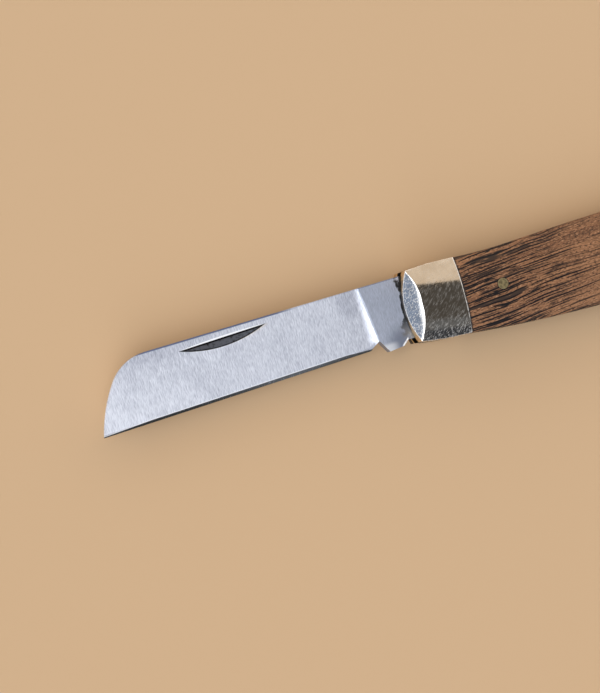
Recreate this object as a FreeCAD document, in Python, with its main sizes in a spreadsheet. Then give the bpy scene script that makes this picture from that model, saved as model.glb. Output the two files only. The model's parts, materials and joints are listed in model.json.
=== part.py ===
import FreeCAD, Part
import math
import os
import Sketcher
from FreeCAD import Placement, Rotation, Vector

# A slip-joint folding pocket knife with one lambsfoot blade, shown open and lying on its side.
# +X runs from the pivot to the butt, +Y from the belly to the back, +Z up from the lower cover.
# Sketches are drawn about the pivot, with Z = 0 in the middle of the blade's thickness.
os.makedirs("parts", exist_ok=True)
doc = FreeCAD.newDocument("folding_knife")

DRIVING = (
    ("tip_reach", 73.5, "pivot to the point of the blade"),
    ("butt_reach", 88.2, "pivot to the end of the butt"),
    ("back_height", 10.0, "pivot to the highest place of the back"),
    ("belly_depth", 9.3, "pivot to the lowest place of the belly"),
    ("back_peak", 64.5, "pivot to the highest place of the back, along the handle"),
    ("belly_peak", 44.2, "pivot to the lowest place of the belly, along the handle"),
    ("butt_radius", 7.5, "rounding of the butt"),
    ("butt_height", 0.8, "middle of the butt's rounding above the pivot"),
    ("saddle_reach", 20.0, "pivot to the hollow behind the bolster, along the handle"),
    ("saddle_height", 9.05, "height of the back in that hollow"),
    ("rake", 2.8, "degrees that the bolster's front leans with the handle"),
    ("front_chord", 4.25, "pivot to the chord of the bolster's front"),
    ("front_back", 9.3, "upper corner of the bolster's front"),
    ("front_belly", 5.8, "lower corner of the bolster's front"),
    ("front_radius", 19.0, "curve of the bolster's front"),
    ("joint_reach", 6.96, "pivot to the joint of bolster and cover"),
    ("joint_rake", 1.8, "degrees that this joint leans with the handle"),
    ("joint_back", 9.25, "height of the back at that joint"),
    ("joint_belly", 6.98, "depth of the belly at that joint"),
    ("bolster_swell", 58.0, "curve of the bolster's back and belly"),
    ("slot_width", 2.6, "room between the liners, filled by the spring"),
    ("side_play", 0.05, "room between the tang and each liner"),
    ("liner_thickness", 0.8, "sheet of each liner"),
    ("cover_height", 3.5, "crest of cover and bolster over the liner"),
    ("crown_flat", 1.0, "half width of the flat crest"),
    ("crown_radius", 17.0, "curve from the crest to the edges"),
    ("crown_reach", 12.0, "half width that the crown is shaped to"),
    ("sway_radius", 600.0, "curve of the crest along the handle"),
    ("sway_reach", 42.0, "pivot to the middle of that curve"),
    ("sway_height", 0.1, "crest above the pivot at that place"),
    ("bevel_angle", 42.0, "degrees of the bolster's front bevel at its lower edge"),
    ("bevel_bow", 22.0, "curve of that bevel"),
    ("bevel_front_turn", 14.0, "degrees that its curve is carried on below the lower edge"),
    ("bevel_rear_turn", 26.0, "degrees that its curve is carried on above the lower edge"),
    ("bevel_round", 0.5, "softened edge behind that bevel"),
    ("joint_round", 0.35, "softened edge of the bolsters along the covers"),
    ("cover_round", 0.6, "softened outer edge of the covers"),
    ("bolster_round", 0.2, "softened edge of the bolsters along the back and the belly"),
    ("pivot_radius", 1.25, "pivot pin"),
    ("pin_radius", 1.15, "brass pins of covers and spring"),
    ("rivet_radius", 0.9, "hidden rivets of the bolsters"),
    ("pin_play", 0.02, "room round a fixed pin"),
    ("running_play", 0.03, "room round the pivot pin in the blade"),
    ("pin_flare", 0.35, "flared inner head of a short pin"),
    ("rivet_grip", 1.8, "rivet into the bolster"),
    ("spring_pin_reach", 44.5, "pivot to the pin in the middle of the spring"),
    ("spring_pin_height", 6.0, "height of that pin"),
    ("end_pin_reach", 3.2, "middle of the butt's rounding forward to the pin at the end of the spring"),
    ("end_pin_height", 4.6, "height of that pin"),
    ("cover_pin_reach", 15.6, "pivot to the front pin of a cover"),
    ("cover_pin_height", 1.0, "height of that pin"),
    ("rivet_reach", 1.2, "pivot to the bolster rivets"),
    ("rivet_height", 6.1, "upper bolster rivet"),
    ("rivet_depth", 4.0, "lower bolster rivet"),
    ("stop_reach", 2.4, "pivot forward to the stop of the open blade"),
    ("flat_height", 4.3, "pivot to the flats of the tang"),
    ("cam_radius", 5.15, "rounded end of the tang"),
    ("closing_angle", 174.0, "degrees from open to closed"),
    ("spring_play", 0.04, "room between tang and spring at rest"),
    ("kick_height", 4.8, "pivot to the kick, which rests on the spring when closed"),
    ("kick_front", 11.4, "front of the kick"),
    ("kick_rear", 8.15, "rear of the kick"),
    ("kick_root", 6.85, "root of the kick"),
    ("kick_rise", 0.9, "kick above its root"),
    ("flat_inset", 0.8, "end of the closed flat before the end of the spring's lip"),
    ("kick_play", 0.1, "room between the kick and the spring"),
    ("spring_lip", 4.4, "pivot to the end of the spring's bearing lip"),
    ("lip_foot", 6.6, "pivot to the foot of the lip's rear slope"),
    ("spring_boss", 3.1, "spring below its pins"),
    ("boss_half", 4.0, "half length of the spring's thick place at its middle pin"),
    ("boss_run", 10.0, "slope of the spring before that place"),
    ("end_half", 3.5, "spring's thick end before its end pin"),
    ("spring_rear", 4.6, "thickness of the spring at its thinnest, behind its middle pin"),
    ("spine_height", 8.65, "spine of the blade above the pivot"),
    ("spine_fall", 0.3, "fall of the spine toward the point"),
    ("nose_run", 13.0, "length of the rounded nose"),
    ("nose_step", 4.9, "knuckle of the nose behind the point"),
    ("nose_rise", 10.4, "knuckle of the nose above the point"),
    ("tip_drop", 6.2, "point below the pivot"),
    ("heel_reach", 14.5, "pivot to the heel of the edge"),
    ("heel_drop", 4.75, "heel of the edge below the pivot"),
    ("notch_reach", 12.5, "pivot to the notch at the heel"),
    ("notch_drop", 3.2, "top of that notch below the pivot"),
    ("plunge_spine", 13.9, "pivot to the end of the grind at the spine"),
    ("plunge_edge", 12.5, "pivot to the end of the grind at the notch"),
    ("plunge_radius", 3.2, "curve at the end of the grind"),
    ("plunge_spare", 0.3, "that curve carried on above the face of the tang"),
    ("spine_half", 1.1, "half thickness of the ground spine at the tang"),
    ("spine_half_tip", 0.8, "half thickness of the ground spine at the nose"),
    ("edge_half", 0.24, "half thickness above the whetted edge"),
    ("edge_land", 0.03, "half thickness of the cutting edge itself"),
    ("whet_width", 0.9, "width of the whetted edge at the heel"),
    ("whet_width_tip", 0.5, "width of the whetted edge at the point"),
    ("nick_length", 19.75, "nail nick along the spine"),
    ("nick_width", 2.12, "nail nick across"),
    ("nick_depth", 0.5, "nail nick into the blade"),
    ("nick_reach", 44.35, "pivot to the middle of the nick"),
    ("nick_height", 6.7, "straight side of the nick above the pivot"),
    ("nick_turn", 1.7, "degrees that the nick rises toward the tang"),
    ("cut_spare", 1.0, "room that a cut reaches past the solid"),
)
DEGREES_PER_RADIAN = 180 / math.pi
SAME_RADIUS = 0.001


class Size:
    """A number worked out from the sheet, kept with the expression that gives it."""

    def __init__(self, value, text):
        self.value = value
        self.text = text

    def __add__(self, other):
        other = as_size(other)
        return Size(self.value + other.value, f"({self.text} + {other.text})")

    def __sub__(self, other):
        other = as_size(other)
        return Size(self.value - other.value, f"({self.text} - {other.text})")

    def __mul__(self, other):
        other = as_size(other)
        return Size(self.value * other.value, f"({self.text} * {other.text})")

    def __truediv__(self, other):
        other = as_size(other)
        return Size(self.value / other.value, f"({self.text} / {other.text})")

    def __radd__(self, other):
        return as_size(other) + self

    def __rsub__(self, other):
        return as_size(other) - self

    def __rmul__(self, other):
        return as_size(other) * self

    def __rtruediv__(self, other):
        return as_size(other) / self

    def __neg__(self):
        return Size(-self.value, f"(-1 * {self.text})")


def as_size(number):
    if isinstance(number, Size):
        return number
    return Size(float(number), f"({float(number)})")


def root(size):
    return Size(math.sqrt(size.value), f"sqrt({size.text})")


def sine(degrees):
    return Size(math.sin(math.radians(degrees.value)), f"sin({degrees.text})")


def cosine(degrees):
    return Size(math.cos(math.radians(degrees.value)), f"cos({degrees.text})")


def slope(degrees):
    return Size(math.tan(math.radians(degrees.value)), f"tan({degrees.text})")


def arc_sine(ratio):
    return Size(math.degrees(math.asin(ratio.value)), f"(asin({ratio.text}) / 1 deg)")


class Sizes:
    """The sheet's cells by name."""


sheet = doc.addObject("Spreadsheet::Sheet", "Dims")
dim = Sizes()
for row, (alias, value, note) in enumerate(DRIVING, 1):
    sheet.set(f"A{row}", note)
    sheet.set(f"B{row}", str(value))
    sheet.setAlias(f"B{row}", alias)
    setattr(dim, alias, Size(value, f"Dims.{alias}"))
doc.recompute()

# Levels of the stack, counted from the middle of the blade.
liner_level = dim.slot_width / 2
cover_level = liner_level + dim.liner_thickness
crest_level = cover_level + dim.cover_height
tang_half = liner_level - dim.side_play

# The whole knife stands on the middle of its box: half way from point to butt, from belly to back.
seat = (
    (dim.tip_reach - dim.butt_reach) / 2,
    (dim.belly_depth - dim.back_height) / 2,
    crest_level,
)


def new_body(name):
    body = doc.addObject("PartDesign::Body", name)
    body.Label = name
    for axis, size in zip("xyz", seat):
        body.setExpression(f"Placement.Base.{axis}", size.text)
    return body


def new_sketch(body, name, role="XY_Plane", base=None, turn=None):
    """A sketch on one of the body's own planes, moved by base and turned about its upright line."""
    sketch = body.newObject("Sketcher::SketchObject", f"{body.Name}_{name}")
    plane = next(f for f in body.Origin.OriginFeatures if f.Role == role)
    sketch.AttachmentSupport = (plane, "")
    sketch.MapMode = "FlatFace"
    if turn is not None:
        sketch.AttachmentOffset = Placement(Vector(), Rotation(Vector(0, 1, 0), turn.value))
        sketch.setExpression("AttachmentOffset.Rotation.Angle", turn.text)
    if base is not None:
        for axis, size in zip("xyz", base):
            if size is not None:
                sketch.setExpression(f"AttachmentOffset.Base.{axis}", size.text)
    return sketch


def place(sketch, geometry, end, x, y):
    """Hold one end of a line or arc at x, y."""
    for kind, size, axis in (("DistanceX", x, -2), ("DistanceY", y, -1)):
        if size.value == 0:
            sketch.addConstraint(Sketcher.Constraint("PointOnObject", geometry, end, axis))
            continue
        index = sketch.addConstraint(Sketcher.Constraint(kind, -1, 1, geometry, end, size.value))
        sketch.setExpression(f"Constraints[{index}]", size.text)


def draw(sketch, corners, arcs=None):
    """A closed outline through corners; arcs gives (radius, side) for the stretch after a corner.

    Side is +1 where the middle of the arc lies left of the way round, and -1 where it lies right.
    """
    arcs = arcs or {}
    corners = [(as_size(x), as_size(y)) for x, y in corners]
    points = [Vector(x.value, y.value, 0) for x, y in corners]
    ends = []
    for i, start in enumerate(points):
        stop = points[(i + 1) % len(points)]
        if i not in arcs:
            ends.append((sketch.addGeometry(Part.LineSegment(start, stop)), 1, 2))
            continue
        radius, side = arcs[i]
        chord = stop - start
        reach = math.sqrt(radius.value ** 2 - (chord.Length / 2) ** 2)
        left = Vector(-chord.y, chord.x, 0).normalize()
        middle = (start + stop) * 0.5 + left * (side * reach)
        first, last = (start, stop) if side > 0 else (stop, start)
        a = math.atan2(first.y - middle.y, first.x - middle.x)
        b = math.atan2(last.y - middle.y, last.x - middle.x)
        b = b if b > a else b + 2 * math.pi
        circle = Part.Circle(middle, Vector(0, 0, 1), radius.value)
        index = sketch.addGeometry(Part.ArcOfCircle(circle, a, b))
        ends.append((index, 1, 2) if side > 0 else (index, 2, 1))
    for i, (index, head, tail) in enumerate(ends):
        after, after_head, _ = ends[(i + 1) % len(ends)]
        sketch.addConstraint(Sketcher.Constraint("Coincident", index, tail, after, after_head))
        place(sketch, index, head, *corners[i])
        if i in arcs:
            radius = arcs[i][0]
            held = sketch.addConstraint(Sketcher.Constraint("Radius", index, radius.value))
            sketch.setExpression(f"Constraints[{held}]", radius.text)


def draw_circles(sketch, centres, radius):
    for x, y in centres:
        x = as_size(x)
        y = as_size(y)
        circle = Part.Circle(Vector(x.value, y.value, 0), Vector(0, 0, 1), radius.value)
        index = sketch.addGeometry(circle)
        place(sketch, index, 3, x, y)
        held = sketch.addConstraint(Sketcher.Constraint("Radius", index, radius.value))
        sketch.setExpression(f"Constraints[{held}]", radius.text)


def draw_axis(sketch, x, y, direction):
    """A construction line to turn a profile about."""
    x = as_size(x)
    y = as_size(y)
    start = Vector(x.value, y.value, 0)
    stop = start + direction * dim.crown_reach.value
    index = sketch.addGeometry(Part.LineSegment(start, stop), True)
    place(sketch, index, 1, x, y)
    sketch.addConstraint(Sketcher.Constraint("Vertical" if direction.y else "Horizontal", index))
    held = sketch.addConstraint(Sketcher.Constraint("Distance", index, dim.crown_reach.value))
    sketch.setExpression(f"Constraints[{held}]", dim.crown_reach.text)


def pad(body, sketch, length, middle=False, downward=False):
    feature = body.newObject("PartDesign::Pad", f"{sketch.Name}_pad")
    feature.Profile = sketch
    feature.setExpression("Length", length.text)
    feature.SideType = "Symmetric" if middle else "One side"
    feature.Reversed = downward
    doc.recompute()
    return feature


def cut(body, sketch, length, middle=False, upward=False):
    feature = body.newObject("PartDesign::Pocket", f"{sketch.Name}_cut")
    feature.Profile = sketch
    feature.setExpression("Length", length.text)
    feature.SideType = "Symmetric" if middle else "One side"
    feature.Reversed = upward
    doc.recompute()
    return feature


def drill(body, name, level, centres, radius, depth, upward):
    """Round holes from a level, all of one size."""
    sketch = new_sketch(body, name, base=(None, None, level))
    draw_circles(sketch, centres, radius)
    return cut(body, sketch, depth, upward=upward)


def edges_of(feature, wanted):
    """Names of the edges of a feature that answer the question wanted."""
    return [f"Edge{i}" for i, edge in enumerate(feature.Shape.Edges, 1) if wanted(edge)]


def middle_of(edge):
    return edge.valueAt((edge.FirstParameter + edge.LastParameter) / 2)


def slants(feature, edge):
    """How far each face at an edge leans from upright: 0 for a wall, 1 for a level face."""
    spot = middle_of(edge)
    found = []
    for face in feature.Shape.Faces:
        if any(edge.isSame(other) for other in face.Edges):
            u, v = face.Surface.parameter(spot)
            found.append(abs(face.normalAt(u, v).z))
    return found


def borders(feature, edge, radius):
    """Whether an edge lies on a face that is curved by this radius."""
    for face in feature.Shape.Faces:
        curved = abs(getattr(face.Surface, "Radius", 0) - radius.value) < SAME_RADIUS
        if curved and any(edge.isSame(other) for other in face.Edges):
            return True
    return False


def soften(body, feature, name, radius, wanted):
    """Round the edges of a feature that answer the question wanted."""
    rounded = body.newObject("PartDesign::Fillet", f"{body.Name}_{name}")
    rounded.Base = (feature, edges_of(feature, wanted))
    rounded.setExpression("Radius", radius.text)
    doc.recompute()
    return rounded


# Outline of the handle. Each arc meets the next without a corner, except at the four corners of
# the bolster: front above, front below, and the joint with the cover on the belly.
rise = slope(dim.rake)
joint_rise = slope(dim.joint_rake)
front_top = (rise * dim.front_back - dim.front_chord, dim.front_back)
front_low = (-1 * rise * dim.front_belly - dim.front_chord, -dim.front_belly)
joint_top = (joint_rise * dim.joint_back + dim.joint_reach, dim.joint_back)
joint_low = (dim.joint_reach - joint_rise * dim.joint_belly, -dim.joint_belly)
saddle = (dim.saddle_reach, dim.saddle_height)
peak = (dim.back_peak, dim.back_height)
lowest = (dim.belly_peak, -dim.belly_depth)
butt_middle = dim.butt_reach - dim.butt_radius

# The long arc of the back is level at its peak and falls to the saddle.
back_run = dim.back_peak - dim.saddle_reach
back_fall = dim.back_height - dim.saddle_height
back_radius = (back_run * back_run + back_fall * back_fall) / (2 * back_fall)
# The saddle's hollow arc leaves that arc without a corner and ends at the joint.
hollow_x = joint_top[0] - dim.saddle_reach
hollow_y = joint_top[1] - dim.saddle_height
hollow_along = hollow_y * (back_radius - back_fall) - hollow_x * back_run
hollow_radius = (hollow_x * hollow_x + hollow_y * hollow_y) * back_radius / (2 * hollow_along)
# Behind the peak an arc runs into the rounding of the butt, and so does the belly.
upper_run = butt_middle - dim.back_peak
upper_fall = dim.back_height - dim.butt_height
upper_radius = (
    upper_run * upper_run / (upper_fall - dim.butt_radius) + dim.butt_radius + upper_fall
) / 2
upper_end = (
    butt_middle + dim.butt_radius * upper_run / (upper_radius - dim.butt_radius),
    dim.butt_height
    + dim.butt_radius * (upper_radius - upper_fall) / (upper_radius - dim.butt_radius),
)
lower_run = butt_middle - dim.belly_peak
lower_rise = dim.belly_depth + dim.butt_height
lower_radius = (
    lower_run * lower_run / (lower_rise - dim.butt_radius) + dim.butt_radius + lower_rise
) / 2
lower_end = (
    butt_middle + dim.butt_radius * lower_run / (lower_radius - dim.butt_radius),
    dim.butt_height
    - dim.butt_radius * (lower_radius - lower_rise) / (lower_radius - dim.butt_radius),
)
belly_run = dim.belly_peak - joint_low[0]
belly_rise = dim.belly_depth - dim.joint_belly
belly_radius = (belly_run * belly_run + belly_rise * belly_rise) / (2 * belly_rise)


def handle_outline(sketch):
    corners = [
        front_top,
        joint_top,
        saddle,
        peak,
        upper_end,
        lower_end,
        lowest,
        joint_low,
        front_low,
    ]
    arcs = {
        0: (dim.bolster_swell, -1),
        1: (hollow_radius, 1),
        2: (back_radius, -1),
        3: (upper_radius, -1),
        4: (dim.butt_radius, -1),
        5: (lower_radius, -1),
        6: (belly_radius, -1),
        7: (dim.bolster_swell, -1),
        8: (dim.front_radius, -1),
    }
    draw(sketch, corners, arcs)


# The crown of the handle: a flat crest with a round shoulder on each side, turned about the far
# middle of the sway, and closed at the butt by the same shoulder turned about the butt's middle.
crown_run = dim.crown_reach - dim.crown_flat
crown_drop = dim.crown_radius - root(dim.crown_radius * dim.crown_radius - crown_run * crown_run)
station_turn = arc_sine((butt_middle - dim.sway_reach) / dim.sway_radius)
station_height = dim.sway_height + dim.sway_radius * (1 - cosine(station_turn))
station = (station_height, None, butt_middle)
sway_angle = (dim.butt_reach + dim.crown_reach) / dim.sway_radius * DEGREES_PER_RADIAN


def crown(body, side, butt=False):
    """Cut the crown on the upper (+1) or lower (-1) side of a body."""
    word = "upper" if side > 0 else "lower"
    sketch = new_sketch(body, f"{word}_crown", "YZ_Plane", station, station_turn)
    crest = side * crest_level
    brink = side * (crest_level - crown_drop)
    above = side * (crest_level + dim.cut_spare)
    corners = [
        (-dim.crown_reach, brink),
        (-dim.crown_flat, crest),
        (dim.crown_flat, crest),
        (dim.crown_reach, brink),
        (dim.crown_reach, above),
        (-dim.crown_reach, above),
    ]
    draw(sketch, corners, {0: (dim.crown_radius, -side), 2: (dim.crown_radius, -side)})
    draw_axis(sketch, dim.sway_radius, as_size(0), Vector(0, 1, 0))
    groove = body.newObject("PartDesign::Groove", f"{sketch.Name}_groove")
    groove.Profile = sketch
    groove.ReferenceAxis = (sketch, ["Axis0"])
    groove.setExpression("Angle", sway_angle.text)
    groove.Reversed = True
    doc.recompute()
    if not butt:
        return groove
    half = new_sketch(body, f"{word}_butt_crown", "YZ_Plane", station, station_turn)
    corners = [
        (as_size(0), crest),
        (dim.crown_flat, crest),
        (dim.crown_reach, brink),
        (dim.crown_reach, above),
        (as_size(0), above),
    ]
    draw(half, corners, {1: (dim.crown_radius, -side)})
    groove = body.newObject("PartDesign::Groove", f"{half.Name}_groove")
    groove.Profile = half
    groove.ReferenceAxis = (half, ["V_Axis"])
    groove.Angle = 180
    groove.Reversed = True
    doc.recompute()
    return groove


finished = []

# Places of the pins.
pivot_spot = (as_size(0), as_size(0))
spring_spot = (dim.spring_pin_reach, dim.spring_pin_height)
end_spot = (butt_middle - dim.end_pin_reach, dim.end_pin_height)
cover_spot = (dim.cover_pin_reach, dim.cover_pin_height)
rivet_spots = [(dim.rivet_reach, dim.rivet_height), (dim.rivet_reach, -dim.rivet_depth)]

# Blade: tang, kick and spine are one outline. Points on the closed side are given as they lie
# when the blade is shut, where the spring bears on them, and turned back to the open blade.
cam_reach = root(dim.cam_radius * dim.cam_radius - dim.flat_height * dim.flat_height)
shut_cos = cosine(dim.closing_angle)
shut_sin = sine(dim.closing_angle)


def when_shut(along, height):
    along = as_size(along)
    height = as_size(height)
    return (along * shut_cos + height * shut_sin, height * shut_cos - along * shut_sin)


nose_top = (dim.nose_run - dim.tip_reach, dim.spine_height - dim.spine_fall)
knuckle = (dim.nose_step - dim.tip_reach, dim.nose_rise - dim.tip_drop)
point = (-dim.tip_reach, -dim.tip_drop)
knuckle_x = nose_top[0] - knuckle[0]
knuckle_y = nose_top[1] - knuckle[1]
upper_nose = (knuckle_x * knuckle_x + knuckle_y * knuckle_y) / (2 * knuckle_y)
# The lower arc of the nose leaves the upper arc without a corner and ends at the point.
inward_x = knuckle_x / upper_nose
inward_y = (knuckle_y - upper_nose) / upper_nose
chord_x = -dim.nose_step
chord_y = -dim.nose_rise
lower_nose = (chord_x * chord_x + chord_y * chord_y) / (2 * (chord_x * inward_x + chord_y * inward_y))

blade = new_body("blade")
outline = new_sketch(blade, "outline")
blade_corners = [
    point,
    knuckle,
    nose_top,
    (-dim.stop_reach, dim.spine_height),
    (-dim.stop_reach, dim.flat_height),
    (cam_reach, dim.flat_height),
    when_shut(-cam_reach, dim.flat_height),
    when_shut(dim.spring_lip - dim.flat_inset, dim.flat_height),
    when_shut(dim.kick_root, dim.kick_height - dim.kick_rise),
    when_shut(dim.kick_rear, dim.kick_height),
    when_shut(dim.kick_front, dim.kick_height),
    (-dim.notch_reach, -dim.notch_drop),
    (-dim.heel_reach, -dim.heel_drop),
]
draw(outline, blade_corners, {0: (lower_nose, -1), 1: (upper_nose, -1), 5: (dim.cam_radius, -1)})
pad(blade, outline, 2 * tang_half, middle=True)


# The grind: each side falls from the spine to the edge and thins toward the nose. Its end at the
# tang is a hollow curve, which leans a little forward toward the spine.
grind_over = dim.spine_height + dim.cut_spare
grind_under = -dim.tip_drop - dim.cut_spare
lean = (dim.plunge_spine - dim.plunge_edge) / (dim.spine_height + dim.notch_drop)
heel_gain = (dim.spine_half - dim.edge_half) / (dim.spine_height + dim.heel_drop)
nose_gain = (dim.spine_half_tip - dim.edge_half) / (dim.spine_height + dim.tip_drop)


def grind_section(side, height, name):
    sketch = new_sketch(blade, name, "XZ_Plane", (None, None, -height))
    heel_level = dim.edge_half + heel_gain * (height + dim.heel_drop)
    nose_level = dim.edge_half + nose_gain * (height + dim.tip_drop)
    end = -1 * dim.plunge_edge - lean * (height + dim.notch_drop)
    step = tang_half - heel_level
    begin = end - root(2 * dim.plunge_radius * step - step * step)
    climb = step + dim.plunge_spare
    finish = begin + root(2 * dim.plunge_radius * climb - climb * climb)
    front = -dim.tip_reach - dim.cut_spare
    corners = [
        (front, side * nose_level),
        (begin, side * heel_level),
        (finish, side * (tang_half + dim.plunge_spare)),
        (finish, side * (tang_half + dim.cut_spare)),
        (front, side * (tang_half + dim.cut_spare)),
    ]
    draw(sketch, corners, {1: (dim.plunge_radius, side)})
    return sketch


for side, word in ((1, "mark"), (-1, "pile")):
    over = grind_section(side, grind_over, f"grind_{word}_spine")
    under = grind_section(side, grind_under, f"grind_{word}_edge")
    grind = blade.newObject("PartDesign::SubtractiveLoft", f"blade_grind_{word}")
    grind.Profile = over
    grind.Sections = [under]
    grind.Ruled = True
    doc.recompute()

# Whetted edge: a narrow steeper bevel on both sides, which runs out finer toward the point.
edge_fall = (dim.tip_drop - dim.heel_drop) / (dim.tip_reach - dim.heel_reach)


def whet_section(side, reach, width, gain, name):
    sketch = new_sketch(blade, name, "YZ_Plane", (None, None, -reach))
    edge = -1 * dim.heel_drop - edge_fall * (reach - dim.heel_reach)
    steep = (dim.edge_half + gain * width - dim.edge_land) / width
    low = edge - dim.cut_spare / 2
    high = edge + 2 * width
    out = dim.edge_land + 2 * width * steep
    corners = [
        (low, side * (dim.edge_land - dim.cut_spare / 2 * steep)),
        (high, side * out),
        (low, side * out),
    ]
    draw(sketch, corners)
    return sketch


for side, word in ((1, "mark"), (-1, "pile")):
    heel = whet_section(side, dim.notch_reach, dim.whet_width, heel_gain, f"whet_{word}_heel")
    past_tip = dim.tip_reach + dim.cut_spare
    tip = whet_section(side, past_tip, dim.whet_width_tip, nose_gain, f"whet_{word}_tip")
    whet = blade.newObject("PartDesign::SubtractiveLoft", f"blade_whet_{word}")
    whet.Profile = heel
    whet.Sections = [tip]
    whet.Ruled = True
    doc.recompute()

# Nail nick: struck with a straight wall toward the spine and a floor that rises to an arc.
share = (dim.nick_reach - dim.plunge_spine) / (dim.tip_reach - dim.plunge_spine)
face_heel = dim.edge_half + heel_gain * (dim.nick_height + dim.heel_drop)
face_nose = dim.edge_half + nose_gain * (dim.nick_height + dim.tip_drop)
face_level = face_heel + share * (face_nose - face_heel)
nick_middle = (dim.nick_height, None, -dim.nick_reach)
nick_sketch = new_sketch(blade, "nick", "YZ_Plane", nick_middle, dim.nick_turn)
nick_mouth = dim.nick_width * (dim.nick_depth + dim.cut_spare) / dim.nick_depth
nick_corners = [
    (0, face_level - dim.nick_depth),
    (0, face_level + dim.cut_spare),
    (-nick_mouth, face_level + dim.cut_spare),
]
draw(nick_sketch, nick_corners)
wheel = (dim.nick_length * dim.nick_length / 4 + dim.nick_depth * dim.nick_depth) / (2 * dim.nick_depth)
draw_axis(nick_sketch, 0, face_level + wheel - dim.nick_depth, Vector(1, 0, 0))
nick = blade.newObject("PartDesign::Groove", "blade_nick_struck")
nick.Profile = nick_sketch
nick.ReferenceAxis = (nick_sketch, ["Axis0"])
nick.Angle = 360
doc.recompute()
pivot_bore = new_sketch(blade, "bore")
draw_circles(pivot_bore, [pivot_spot], dim.pivot_radius + dim.running_play)
cut(blade, pivot_bore, dim.slot_width * 2, middle=True)
finished.append(blade)

# Back spring: the handle's outline with everything under the spring cut away. Its lip bears on
# the flats of the tang, and its neck leaves room for the kick of the shut blade.
spring = new_body("back_spring")
spring_outline = new_sketch(spring, "outline")
handle_outline(spring_outline)
pad(spring, spring_outline, dim.slot_width, middle=True)
lip_level = dim.flat_height + dim.spring_play
neck_level = dim.kick_height + dim.kick_play
boss_level = dim.spring_pin_height - dim.spring_boss
rear_level = dim.back_height - dim.spring_rear
end_level = dim.end_pin_height - dim.spring_boss
boss_front = dim.spring_pin_reach - dim.boss_half
boss_rear = dim.spring_pin_reach + dim.boss_half
end_front = end_spot[0] - dim.end_half
# Behind its middle pin the spring thins in one long hollow arc, as high as rear_level.
rear_run = end_front - boss_rear
rear_fall = boss_level - end_level
rear_hollow = rear_level - (boss_level + end_level) / 2
rear_radius = (rear_run * rear_run + rear_fall * rear_fall) / (8 * rear_hollow) + rear_hollow / 2
beyond = 2 * dim.back_height
hollow = new_sketch(spring, "hollow")
hollow_corners = [
    (-beyond, beyond),
    (dim.spring_play - dim.stop_reach, beyond),
    (dim.spring_play - dim.stop_reach, lip_level),
    (dim.spring_lip, lip_level),
    (dim.lip_foot, neck_level),
    (boss_front - dim.boss_run, neck_level),
    (boss_front, boss_level),
    (boss_rear, boss_level),
    (end_front, end_level),
    (dim.butt_reach + beyond, end_level),
    (dim.butt_reach + beyond, -beyond),
    (-beyond, -beyond),
]
draw(hollow, hollow_corners, {7: (rear_radius, -1)})
cut(spring, hollow, dim.slot_width * 2, middle=True)
spring_bores = new_sketch(spring, "bores")
draw_circles(spring_bores, [spring_spot, end_spot], dim.pin_radius + dim.pin_play)
cut(spring, spring_bores, dim.slot_width * 2, middle=True)
finished.append(spring)


def joint_side(body, forward):
    """Cut away what lies behind (forward False) or before (True) the joint of bolster and cover."""
    sketch = new_sketch(body, "joint")
    far = -beyond if forward else dim.butt_reach + beyond
    corners = [
        (dim.joint_reach + joint_rise * beyond, beyond),
        (far, beyond),
        (far, -beyond),
        (dim.joint_reach - joint_rise * beyond, -beyond),
    ]
    draw(sketch, corners)
    return cut(body, sketch, 4 * crest_level, middle=True)


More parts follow.
